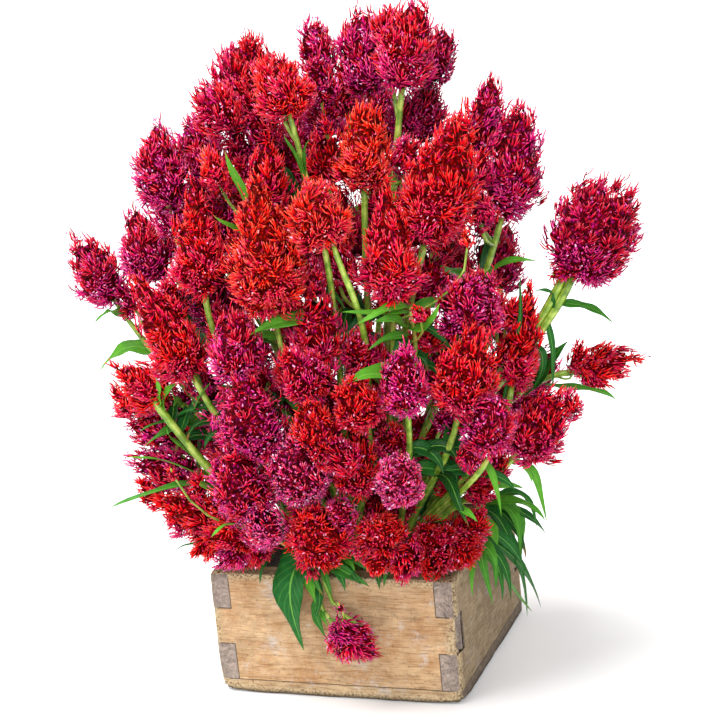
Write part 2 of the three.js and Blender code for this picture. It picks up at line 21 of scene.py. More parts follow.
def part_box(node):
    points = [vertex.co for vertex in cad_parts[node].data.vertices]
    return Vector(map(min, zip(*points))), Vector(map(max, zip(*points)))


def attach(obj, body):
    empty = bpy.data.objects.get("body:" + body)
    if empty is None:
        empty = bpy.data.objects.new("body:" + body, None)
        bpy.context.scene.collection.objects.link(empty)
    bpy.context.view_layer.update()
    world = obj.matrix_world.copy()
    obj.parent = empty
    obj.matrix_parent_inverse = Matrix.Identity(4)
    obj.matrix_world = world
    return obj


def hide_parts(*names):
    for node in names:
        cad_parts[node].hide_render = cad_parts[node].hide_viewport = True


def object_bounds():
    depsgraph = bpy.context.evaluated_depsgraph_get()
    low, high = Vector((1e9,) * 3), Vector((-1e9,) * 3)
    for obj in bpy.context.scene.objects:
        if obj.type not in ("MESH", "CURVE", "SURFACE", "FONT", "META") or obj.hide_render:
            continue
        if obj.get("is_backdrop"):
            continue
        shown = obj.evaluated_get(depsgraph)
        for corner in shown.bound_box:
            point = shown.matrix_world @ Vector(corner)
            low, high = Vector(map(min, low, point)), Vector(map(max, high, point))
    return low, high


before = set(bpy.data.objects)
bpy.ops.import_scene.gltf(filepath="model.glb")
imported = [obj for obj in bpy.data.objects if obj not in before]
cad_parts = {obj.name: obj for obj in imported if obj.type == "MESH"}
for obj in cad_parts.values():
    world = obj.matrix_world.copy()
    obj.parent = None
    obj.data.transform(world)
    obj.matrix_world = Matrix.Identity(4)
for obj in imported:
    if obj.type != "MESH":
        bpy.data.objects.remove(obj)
cad_low, cad_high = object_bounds()
print("nodes in the frame:", len(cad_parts))
print("size in metres:", [round(c, 3) for c in cad_high - cad_low])

MM = 0.001
IMAGE_SIZE = 720  # the finished image is square, and this many pixels wide

# %% [markdown]
# ## Camera
#
# The camera stands a little to the right of the box and looks slightly down, and it is tilted to one
# side, so the box seems to lean. Its place is worked out from three angles and a distance, which are
# easier to read and to change than a matrix. A camera's own X points right, its Y up and its Z back
# at the viewer, so those three directions, side by side, are its rotation.

# %% Camera
YAW, PITCH, ROLL = math.radians(20.4), math.radians(14.0), math.radians(-5.48)
DISTANCE = 1.761
SLIDE_RIGHT, SLIDE_UP = -0.018, 0.288
FOCAL_PIXELS = 1771  # the focal length, counted in pixels of the finished image
SENSOR = 36  # how wide the camera's sensor is, in mm


def place_camera():
    back = Vector((math.sin(YAW) * math.cos(PITCH), -math.cos(YAW) * math.cos(PITCH), math.sin(PITCH)))
    level = Vector((math.cos(YAW), math.sin(YAW), 0))
    rise = back.cross(level)
    right = level * math.cos(ROLL) + rise * math.sin(ROLL)
    up = rise * math.cos(ROLL) - level * math.sin(ROLL)
    data = bpy.data.cameras.new("camera")
    data.sensor_width = SENSOR
    data.lens = FOCAL_PIXELS / IMAGE_SIZE * SENSOR
    camera = bpy.data.objects.new("camera", data)
    camera.matrix_world = Matrix((right, up, back)).transposed().to_4x4()
    camera.location = back * DISTANCE + right * SLIDE_RIGHT + up * SLIDE_UP
    bpy.context.scene.collection.objects.link(camera)
    bpy.context.scene.camera = camera
    return camera


camera = place_camera()
print("lens in mm:", round(camera.data.lens, 1))

# %% [markdown]
# ## Studio
#
# Flowers want a soft light, so that each bristle has a bright and a dark side but no hard shadow. The
# key is a wide sun, high on the left, because a sun lights the whole floor alike. A weak one fills
# the right, and another edges the plumes from behind. Blender's filmic view would wash the reds out,
# so the plain "Standard" view is used.

# %% Studio
FLOOR_HALF = 60.0
SKY_STRENGTH = 0.72
PAPER_GREY, PAPER_GLOW = 0.72, 0.08
# Where each sun shines from, how strongly, and how wide it is in degrees.
SUNS = [
    ("key", (-0.85, -0.55, 2.3), 4.7, 44),
    ("fill", (0.5, -1.5, 0.75), 1.6, 25),
    ("rim", (0.1, 1.2, 1.0), 0.8, 25),
]


def add_sun(name, place, power, width):
    data = bpy.data.lights.new(name, "SUN")
    data.energy = power
    data.angle = math.radians(width)
    sun = bpy.data.objects.new(name, data)
    sun.location = place
    sun.rotation_euler = (-Vector(place)).to_track_quat("-Z", "Y").to_euler()
    bpy.context.scene.collection.objects.link(sun)


def light_the_sky():
    world = bpy.data.worlds.new("studio")
    world.use_nodes = True
    background = world.node_tree.nodes["Background"]
    background.inputs["Color"].default_value = (1, 1, 1, 1)
    background.inputs["Strength"].default_value = SKY_STRENGTH
    bpy.context.scene.world = world
    bpy.context.scene.view_settings.view_transform = "Standard"


def lay_the_floor():
    corners = [(x * FLOOR_HALF, y * FLOOR_HALF, 0) for x, y in ((-1, -1), (1, -1), (1, 1), (-1, 1))]
    mesh = bpy.data.meshes.new("floor")
    mesh.from_pydata(corners, [], [(0, 1, 2, 3)])
    floor = bpy.data.objects.new("floor", mesh)
    bpy.context.scene.collection.objects.link(floor)
    paper = bpy.data.materials.new("floor paper")
    paper.use_nodes = True
    shader = paper.node_tree.nodes["Principled BSDF"]
    shader.inputs["Base Color"].default_value = (PAPER_GREY, PAPER_GREY, PAPER_GREY, 1)
    shader.inputs["Roughness"].default_value = 0.9
    shader.inputs["Emission Color"].default_value = (1, 1, 1, 1)
    shader.inputs["Emission Strength"].default_value = PAPER_GLOW
    mesh.materials.append(paper)
    floor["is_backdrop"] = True


light_the_sky()
lay_the_floor()
for sun in SUNS:
    add_sun(*sun)
print(len(SUNS), "suns over a floor", 2 * FLOOR_HALF, "m wide")

# %% [markdown]
# ## How a finish is made
#
# Every finish here is a small tree of shader nodes. A few helpers keep the trees short: `step` adds
# a node and fills in its inputs, `blend` lays one colour over another, `even_noise` is a number that
# changes from place to place, and `ramp` turns a number from 0 to 1 into a colour.
#
# The meshes carry three numbers at each point, in an attribute named `paint`: how far along its
# bristle or leaf the point is, a random tone that the whole bristle shares, and a third one that
# each finish reads in its own way. That way one material dresses thousands of bristles, no two alike.

# %% Helpers for shader nodes


def step(tree, kind, inputs=(), **settings):
    made = tree.nodes.new("ShaderNode" + kind)
    for name, value in settings.items():
        setattr(made, name, value)
    pairs = inputs.items() if isinstance(inputs, dict) else enumerate(inputs)
    for key, value in pairs:
        if isinstance(value, bpy.types.NodeSocket):
            tree.links.new(value, made.inputs[key])
        else:
            made.inputs[key].default_value = value
    return made


def math_step(tree, operation, *values):
    return step(tree, "Math", values, operation=operation).outputs[0]


def blend(tree, factor, below, above, how="MIX"):
    made = step(tree, "Mix", data_type="RGBA", blend_type=how)
    for key, value in ((0, factor), (6, below), (7, above)):
        if isinstance(value, bpy.types.NodeSocket):
            tree.links.new(value, made.inputs[key])
        else:
            made.inputs[key].default_value = value if key == 0 else (*value, 1)
    return made.outputs[2]


def ramp(tree, factor, *stops):
    made = step(tree, "ValToRGB", [factor])
    elements = made.color_ramp.elements
    while len(elements) < len(stops):
        elements.new(0.5)
    for element, (position, colour) in zip(elements, stops):
        element.position = position
        element.color = (*colour, 1)
    return made.outputs[0]


def new_finish(name, roughness):
    material = bpy.data.materials.new(name)
    material.use_nodes = True
    shader = material.node_tree.nodes["Principled BSDF"]
    shader.inputs["Roughness"].default_value = roughness
    return material, material.node_tree, shader


def paint_of(tree):
    paint = step(tree, "Attribute", attribute_name="paint")
    return step(tree, "SeparateXYZ", [paint.outputs["Vector"]]).outputs


def add_bump(tree, shader, height, strength, distance):
    bump = step(tree, "Bump", {"Height": height, "Strength": strength, "Distance": distance})
    tree.links.new(bump.outputs[0], shader.inputs["Normal"])


def even_noise(tree, place, scale, **inputs):
    return step(tree, "TexNoise", {"Vector": place, "Scale": scale, **inputs}).outputs["Fac"]


def grey(part):
    return (part, part, part)

# %% [markdown]
# ## Finishes of the plumes
#
# Each bristle is dark where it leaves the plume, painted shade deep among the others, pure in the
# middle, and lighter toward the tip, painted light that shines through it. Between the bristles sit
# tiny florets, glossy as beads: deep magenta, darker at the foot with painted shade, and here and there
# one painted with a pale pink glint. A plume's foot is pinker than its top.

# %% Finishes of the plumes
# For each colour, first the deep gaps (painted shade), the body and the tip (lighter, painted light)
# of a bristle, then a floret and its glint (a painted highlight).
PLUME_COLOURS = {
    "scarlet": [
        (0.08, 0.0, 0.003), (0.86, 0.002, 0.006), (0.97, 0.13, 0.09),
        (0.76, 0.004, 0.12), (0.96, 0.40, 0.62),
    ],
    "crimson": [
        (0.07, 0.0, 0.005), (0.76, 0.002, 0.014), (0.95, 0.13, 0.13),
        (0.72, 0.006, 0.19), (0.95, 0.40, 0.66),
    ],
    "magenta": [
        (0.06, 0.0, 0.008), (0.66, 0.002, 0.028), (0.93, 0.14, 0.17),
        (0.74, 0.010, 0.28), (0.93, 0.42, 0.74),
    ],
    "plum": [
        (0.04, 0.0, 0.007), (0.44, 0.001, 0.025), (0.74, 0.07, 0.11),
        (0.50, 0.004, 0.18), (0.84, 0.32, 0.60),
    ],
    "orange": [
        (0.10, 0.001, 0.002), (0.92, 0.012, 0.005), (0.99, 0.20, 0.10),
        (0.82, 0.008, 0.09), (0.95, 0.40, 0.50),
    ],
    "pink": [
        (0.08, 0.001, 0.014), (0.74, 0.008, 0.06), (0.96, 0.19, 0.22),
        (0.82, 0.05, 0.32), (0.95, 0.62, 0.80),
    ],
}


def bristle_finish(name, deep, body, tip, floret):
    material, tree, shader = new_finish(f"{name} bristles", 0.5)
    along, tone, pink = paint_of(tree)
    pinker = tuple(0.15 * b + 0.85 * f for b, f in zip(body, floret))
    root_colour = blend(tree, pink, body, pinker)
    # Painted shade: toward its root, deep among the others, a bristle darkens to the gap colour.
    root_shade_share = ramp(tree, along, (0.1, grey(1)), (0.42, grey(0)))
    # The tip's lighter colour is painted light shining through the bristle, stronger at higher tones.
    lit_tip_share = ramp(tree, along, (0.6, grey(0)), (0.92, grey(1)))
    paleness = math_step(tree, "ADD", math_step(tree, "MULTIPLY", tone, 0.6), 0.4)
    pale = math_step(tree, "MULTIPLY", lit_tip_share, paleness)
    colour = blend(tree, pale, blend(tree, root_shade_share, root_colour, deep), tip)
    shade = ramp(tree, tone, (0.0, (0.45, 0.45, 0.5)), (0.5, grey(0.9)), (1.0, (1.2, 1.15, 1.15)))
    colour = blend(tree, 1.0, colour, shade, "MULTIPLY")
    tree.links.new(colour, shader.inputs["Base Color"])
    shader.inputs["Specular IOR Level"].default_value = 0.06
    return material


def floret_finish(name, floret, glint):
    material, tree, shader = new_finish(f"{name} florets", 0.28)
    along, tone, _ = paint_of(tree)
    dark = tuple(0.3 * c for c in floret)
    # The florets of the highest tones take the glint colour: a painted highlight.
    colour = ramp(tree, tone, (0.0, dark), (0.5, floret), (0.84, floret), (0.96, glint))
    # Each floret is darker toward its foot: painted shade where it sits among the others.
    shade = ramp(tree, along, (0.0, grey(0.5)), (0.7, grey(1)))
    colour = blend(tree, 1.0, colour, shade, "MULTIPLY")
    tree.links.new(colour, shader.inputs["Base Color"])
    shader.inputs["Specular IOR Level"].default_value = 0.6
    return material


def core_finish(name, deep, body, floret):
    """Packed florets, too deep to be built one by one: each cell of the texture is one."""
    material, tree, shader = new_finish(f"{name} core", 0.6)
    place = step(tree, "TexCoord").outputs["Object"]
    cells = step(tree, "TexVoronoi", {"Vector": place, "Scale": 330.0})
    pick = step(tree, "SeparateXYZ", [cells.outputs["Color"]]).outputs[0]
    # The body colour of the cells is darkened to about a fifth and a half: painted shade under the
    # bristles.
    low, middle = tuple(0.22 * c for c in body), tuple(0.5 * c for c in body)
    colour = ramp(tree, pick, (0.0, deep), (0.15, low), (0.5, middle), (0.8, middle), (1.0, floret))
    # The cracks between the cells are darker still: painted shade between packed florets.
    edge = ramp(tree, cells.outputs["Distance"], (0.12, grey(1)), (0.6, grey(0.2)))
    tree.links.new(blend(tree, 1.0, colour, edge, "MULTIPLY"), shader.inputs["Base Color"])
    add_bump(tree, shader, math_step(tree, "SUBTRACT", 1.0, cells.outputs["Distance"]), 0.9, 0.003)
    shader.inputs["Specular IOR Level"].default_value = 0.03
    return material


plume_finishes = {}
for colour_name, (deep, body, tip, floret, glint) in PLUME_COLOURS.items():
    plume_finishes[colour_name] = [
        bristle_finish(colour_name, deep, body, tip, floret),
        floret_finish(colour_name, floret, glint),
        core_finish(colour_name, deep, body, floret),
    ]  # in the order in which dressing a plume asks for them
print("plume finishes:", ", ".join(plume_finishes))

# %% [markdown]
# ## Where the plumes stand
#
# Each row is one plume: the bunch it belongs to, its colour, its neck (where the stem ends), its
# tip, and its girth, all in millimetres. The first plume of a bunch is on a stem of its own, and the
# others grow from its side.

# %% Table of plumes
PLUMES = [
    ("crown", "crimson", (85, -35, 545), (100, -25, 635), 60),
    ("crown", "magenta", (46, -14, 540), (42, 2, 632), 60),
    ("crown", "plum", (80, 21, 491), (90, 43, 560), 50),
    ("crown", "plum", (97, 17, 545), (109, 38, 606), 40),
    ("crown_left", "magenta", (5, -14, 504), (2, -4, 567), 52),
    ("crown_left", "magenta", (10, -23, 560), (2, -16, 625), 44),
    ("left_tall", "crimson", (-51, -55, 515), (-56, -44, 618), 74),
    ("left_tall", "crimson", (-58, -85, 525), (-75, -105, 582), 50),
    ("left_open", "scarlet", (4, -96, 537), (-5, -104, 600), 58),
    ("left_magenta", "magenta", (-123, -98, 461), (-126, -100, 548), 62),
    ("left_magenta", "magenta", (-102, -52, 479), (-115, -45, 548), 58),
    ("left_scarlet", "scarlet", (-75, -144, 389), (-75, -146, 497), 62),
    ("left_scarlet", "scarlet", (-60, -130, 484), (-61, -130, 528), 30),
    ("upper_red", "scarlet", (-28, -100, 454), (-19, -98, 528), 50),
    ("big_orange", "orange", (-8, -150, 374), (-6, -167, 498), 82),
    ("far_left", "magenta", (-191, -87, 373), (-229, -90, 445), 56),
    ("far_left", "magenta", (-155, -82, 388), (-168, -74, 469), 64),
    ("lean_scarlet", "scarlet", (-92, -144, 312), (-131, -163, 420), 62),
    ("flank", "magenta", (-37, -150, 245), (-29, -203, 336), 70),
    ("flank", "magenta", (-41, -165, 318), (-36, -178, 394), 58),
    ("flank", "magenta", (-46, -150, 200), (-43, -207, 268), 68),
    ("heart", "pink", (-2, -140, 210), (13, -197, 279), 62),
    ("heart", "pink", (-35, -150, 175), (-22, -200, 216), 44),
    ("centre_red", "scarlet", (22, -150, 250), (35, -207, 319), 56),
    ("core", "crimson", (18, -135, 324), (35, -149, 410), 54),
    ("core", "crimson", (24, -150, 302), (17, -185, 364), 54),
    ("core", "crimson", (55, -123, 317), (67, -130, 370), 44),
    ("front_star", "scarlet", (4, -120, 162), (26, -205, 208), 76),
    ("top_orange", "orange", (42, -146, 436), (45, -174, 505), 66),
    ("centre_scarlet", "scarlet", (91, -125, 377), (96, -131, 482), 66),
    ("high_orange", "orange", (61, -87, 466), (67, -79, 556), 58),
    ("right_scarlet", "scarlet", (106, -81, 412), (151, -69, 546), 80),
    ("right_magenta", "magenta", (158, -9, 421), (189, 10, 535), 66),
    ("right_magenta", "magenta", (136, 20, 475), (150, 38, 556), 46),
    ("right_under", "plum", (143, 31, 349), (150, 45, 410), 46),
    ("right_under", "plum", (120, 68, 350), (143, 92, 416), 60),
    ("lone_big", "magenta", (220, -21, 368), (272, 2, 467), 88),
    ("far_right", "scarlet", (204, 18, 280), (276, 34, 290), 40),
    ("round_crimson", "magenta", (140, -80, 345), (170, -125, 409), 70),
    ("mid_red", "scarlet", (62, -140, 280), (69, -195, 334), 52),
    ("mid_magenta", "magenta", (103, -145, 285), (109, -166, 356), 48),
    ("right_fire", "scarlet", (140, -120, 278), (168, -134, 367), 70),
    ("right_rose", "magenta", (155, -105, 245), (184, -143, 307), 58),
    ("right_rose", "magenta", (145, -105, 225), (152, -135, 262), 30),
    ("dusk_red", "scarlet", (169, -53, 276), (192, -37, 376), 48),
    ("dusk_crimson", "crimson", (170, -60, 222), (228, -65, 288), 66),
    ("front_red", "scarlet", (58, -110, 152), (76, -172, 200), 62),
    ("front_red", "scarlet", (42, -135, 204), (55, -140, 281), 50),
    ("low_pink", "pink", (90, -140, 214), (107, -195, 258), 48),
    ("corner", "scarlet", (95, -95, 145), (128, -150, 180), 60),
    ("corner", "scarlet", (122, -88, 155), (158, -116, 192), 48),
    ("corner", "scarlet", (132, -75, 182), (153, -75, 234), 42),
    ("low_left_red", "scarlet", (-130, -115, 290), (-175, -151, 333), 58),
    ("left_pink", "magenta", (-125, -80, 205), (-192, -119, 237), 52),
    ("left_pink", "magenta", (-145, -85, 240), (-194, -106, 278), 48),
    ("rim_left", "scarlet", (-55, -100, 155), (-90, -178, 182), 60),
    ("rim_left", "scarlet", (-88, -105, 170), (-148, -155, 208), 56),
    ("hanging", "magenta", (8, -132, 85), (53, -144, 55), 50),
    ("back_crown", "magenta", (20, 55, 475), (15, 95, 570), 76),
    ("back_crown", "magenta", (-38, 45, 465), (-55, 78, 552), 68),
    ("back_left", "scarlet", (-110, 15, 395), (-142, 42, 490), 74),
    ("back_left", "scarlet", (-78, 55, 375), (-98, 90, 465), 74),
    ("back_heart", "crimson", (10, 85, 360), (8, 130, 450), 80),
    ("back_heart", "crimson", (68, 85, 335), (82, 128, 415), 70),
    ("back_right", "scarlet", (85, 55, 425), (98, 95, 515), 72),
    ("back_left_low", "magenta", (-115, 50, 265), (-170, 82, 335), 74),
    ("back_left_low", "magenta", (-78, 80, 262), (-115, 128, 328), 72),
    ("back_low", "scarlet", (-8, 100, 225), (-12, 165, 300), 82),
    ("back_low", "scarlet", (50, 100, 232), (66, 158, 304), 74),
    ("back_right_low", "magenta", (122, 55, 228), (182, 85, 288), 74),
    ("back_right_low", "magenta", (105, 85, 180), (155, 135, 232), 72),
    ("back_rim", "crimson", (-38, 82, 150), (-68, 150, 200), 76),
    ("back_rim", "crimson", (15, 84, 152), (28, 156, 200), 76),
    ("left_back_low", "crimson", (-100, 5, 185), (-180, 12, 228), 76),
    ("left_back_mid", "magenta", (-140, -20, 290), (-195, -22, 365), 72),
]


# How far a plume of each colour goes from an egg, 0, to a flame with a sharp tip, 1.
POINTED = {"scarlet": 0.9, "orange": 0.75, "crimson": 0.65, "magenta": 0.5, "plum": 0.5, "pink": 0.25}
# A few bunches have a form of their own.
OWN_FORM = {"lone_big": 0.12, "far_right": 0.3, "left_open": 0.45, "left_tall": 0.15, "crown": 0.3}
HEART_AT = 0.3  # how far up a plume its heart is, as a part of its length
SPINE_PARTS = (0.18, 0.8)  # from where to where its spine runs


def unit(vectors):
    return vectors / np.linalg.norm(vectors, axis=-1, keepdims=True)


def make_plume(bunch, colour, neck, tip, girth):
    plume = SimpleNamespace(bunch=bunch, colour=colour, girth=girth * MM)
    plume.index = len(plumes)
    plume.neck = np.array(neck) * MM
    plume.tip = np.array(tip) * MM
    plume.length = np.linalg.norm(plume.tip - plume.neck)
    plume.axis = (plume.tip - plume.neck) / plume.length
    plume.heart = plume.neck + HEART_AT * plume.length * plume.axis
    vary = 0.75 + 0.5 * (plume.index * 0.618 % 1)
    plume.pointed = OWN_FORM.get(bunch, POINTED[colour] * vary)
    plume.spine = [plume.neck + part * plume.length * plume.axis for part in SPINE_PARTS]
    return plume


plumes = []
for row in PLUMES:
    plumes.append(make_plume(*row))
bunches = {}
for plume in plumes:
    bunches.setdefault(plume.bunch, []).append(plume)
print(len(plumes), "plumes in", len(bunches), "bunches")

# %% [markdown]
# ## Stems
#
# Every bunch hangs on one stem, and a few leafy shoots have no plume. A stem is one cubic arc: it
# leaves the fork of its plant upward and arrives along its plume's axis. Three of them bend in a way
# of their own, so the middle of their arc is listed. The plants spread like a fountain, and each
# plume belongs to the plant that the fountain leads back to.

# %% Where the stems run
PLANTS = {
    "left_front": (-52, -42),
    "centre_front": (0, -50),
    "right_front": (52, -40),
    "left_back": (-48, 28),
    "centre_left": (-12, 6),
    "centre_right": (22, -6),
    "right_back": (48, 30),
}
# Leafy shoots without a plume: where each ends, and a point beyond that, which it heads for.
SHOOTS = [
    ("side_shoot", (116, 35, 146), (146, 40, 172)),
    ("rim_shoot", (113, -30, 145), (143, -22, 171)),
    ("fan_shoot", (105, -122, 378), (99, -125, 408)),
    ("left_shoot", (-145, -142, 306), (-164, -142, 335)),
    ("right_shoot", (168, -125, 245), (192, -130, 280)),
    ("orange_shoot", (51, -152, 446), (49, -152, 456)),
]
# The two middle points of each arc that bends in a way of its own.
OWN_BENDS = {
    "hanging": [(-12, -102, 190), (-20, -126, 104)],
    "left_shoot": [(-78, -118, 180), (-112, -144, 262)],
    "orange_shoot": [(82, -114, 381), (75, -174, 375)],
}
TRUNK_RADIUS = 9 * MM
TRUNK_TOP = 128 * MM
FORK_DEPTH = 8 * MM
SOIL_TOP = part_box("soil")[1].z
FOUNTAIN_FOOT = 88 * MM
FORK_SPREAD = 0.3  # how far off the trunk's middle a stem starts, as a part of what the fountain asks
FIRST_RISE = np.array([0.25, 0.25, 0.4])  # from its fork a stem goes up sooner than it goes aside
HANDLE_RANGE = (25 * MM, 70 * MM)  # over how much of its end a stem is lined up with its plume
CHORD_STEP = 110 * MM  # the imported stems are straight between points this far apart


def place_in_soil(point):
    """Where the fountain of stems through this point leaves the soil."""
    spread_part = math.sqrt((SOIL_TOP - FOUNTAIN_FOOT) / max(point[2] - FOUNTAIN_FOOT, 30 * MM))
    return np.array(point[:2]) * spread_part


def nearest_plant(point):
    place = place_in_soil(point)
    return min(PLANTS, key=lambda name: np.linalg.norm(place - np.array(PLANTS[name]) * MM))


def shorten(vector, longest):
    length = np.linalg.norm(vector)
    return vector * min(1, longest / length) if length else vector


def make_stem(name, end, axis):
    stem = SimpleNamespace(name=name, end=end, axis=axis, plant=nearest_plant(end))
    trunk = np.array(PLANTS[stem.plant]) * MM
    trunk = trunk + shorten((place_in_soil(end) - trunk) * FORK_SPREAD, TRUNK_RADIUS - 2 * MM)
    fork = np.array([*trunk, TRUNK_TOP - FORK_DEPTH])
    handle = np.clip(0.3 * np.linalg.norm(end - fork), *HANDLE_RANGE)
    bends = [fork + (end - fork) * FIRST_RISE, end - axis * handle]
    if name in OWN_BENDS:
        bends = np.array(OWN_BENDS[name]) * MM
    stem.knots = np.array([fork, *bends, end])
    return stem


def curve_points(knots, parts):
    """Points on a cubic arc, given as parts from 0 to 1."""
    parts = np.asarray(parts)[:, None]
    a, b, c, d = knots
    rest = 1 - parts
    return rest**3 * a + 3 * rest**2 * parts * b + 3 * rest * parts**2 * c + parts**3 * d


def even_points(knots, count):
    """Points at even distances along a cubic arc."""
    dense = curve_points(knots, np.linspace(0, 1, 200))
    run = np.concatenate([[0], np.cumsum(np.linalg.norm(np.diff(dense, axis=0), axis=1))])
    wanted = np.linspace(0, run[-1], count)
    return np.stack([np.interp(wanted, run, dense[:, k]) for k in range(3)], axis=1)


def stem_point(stem, part):
    """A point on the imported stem, which is straight between a few points of its arc."""
    length = np.linalg.norm(np.diff(even_points(stem.knots, 200), axis=0), axis=1).sum()
    fewest = 8 if stem.name in OWN_BENDS else 3
    steps = max(fewest, round(length / CHORD_STEP))
    chords = even_points(stem.knots, steps + 1)
    place = part * steps
    stretch = min(int(place), steps - 1)
    return chords[stretch] + (chords[stretch + 1] - chords[stretch]) * (place - stretch)


stems = {name: make_stem(name, members[0].neck, members[0].axis) for name, members in bunches.items()}
for name, end, beyond in SHOOTS:
    end, beyond = np.array(end) * MM, np.array(beyond) * MM
    stems[name] = make_stem(name, end, unit(beyond - end))
for plant in PLANTS:
    print(plant, "carries", sum(stem.plant == plant for stem in stems.values()), "stems")

# %% [markdown]
# ## Young plumes
#
# Under its full-grown plumes a celosia keeps pushing out young ones, on thin branches from the joints
# of its stems. The ones that show are listed. Those deep inside the dome are placed by the room that
# is left: of a few thousand points, the one with the most room round it gets the next plume, in the
# colour that goes with its neighbour. A branch starts at the nearest joint from which it can climb.

# %% Young plumes
MOST_YOUNG = 46  # how many the rule may place
GAP_POINTS = 9000  # how many points it looks at
YOUNG_GIRTH = (27 * MM, 62 * MM)
ROOM_TO_GIRTH = 2.1  # a girth for each step of free room, so the bristles mingle a little
PRESSED_GIRTH = 0.40  # what a plume fills on each side of its spine, in girths
# Where the rule may place them: above the lowest and left of the right end, with a few plumes close
# by, and at a depth between the middle of the dome, 0, and the plumes that stand that way, 1.
LOWEST_YOUNG = 160 * MM
RIGHT_END = 155 * MM
CLOSE_BY, FEWEST_CLOSE = 95 * MM, 4
SAME_WAY = math.cos(math.radians(24))
DEPTHS = (0.2, 0.70)
DOME_MIDDLE = np.array([10, -20, 300]) * MM
# The rule's plumes stand deep in the dome and take a darker kin of their neighbour's colour: a real plume
# colour, darker as painted shade.
YOUNG_COLOURS = {
    "scarlet": "crimson",
    "orange": "scarlet",
    "crimson": "crimson",
    "magenta": "magenta",
    "plum": "plum",
    "pink": "magenta",
}


def room_beside(points, plume):
    """How far each point is from what a plume fills."""
    foot, head = plume.spine
    way = head - foot
    part = np.clip((points - foot) @ way / (way @ way), 0, 1)
    return np.linalg.norm(points - foot - part[:, None] * way, axis=1) - PRESSED_GIRTH * plume.girth


def inside_dome(points):
    way = points - DOME_MIDDLE
    hearts = np.array([plume.heart for plume in plumes]) - DOME_MIDDLE
    near = unit(way) @ unit(hearts).T > SAME_WAY
    edge = np.where(near, np.linalg.norm(hearts, axis=1), 0).max(axis=1)
    depth = np.linalg.norm(way, axis=1) / np.maximum(edge, 1 * MM)
    apart = np.linalg.norm(points[:, None] - DOME_MIDDLE - hearts, axis=2)
    fits = (apart < CLOSE_BY).sum(axis=1) >= FEWEST_CLOSE
    fits &= (depth > DEPTHS[0]) & (depth < DEPTHS[1])
    return fits & (points[:, 2] > LOWEST_YOUNG) & (points[:, 0] < RIGHT_END)


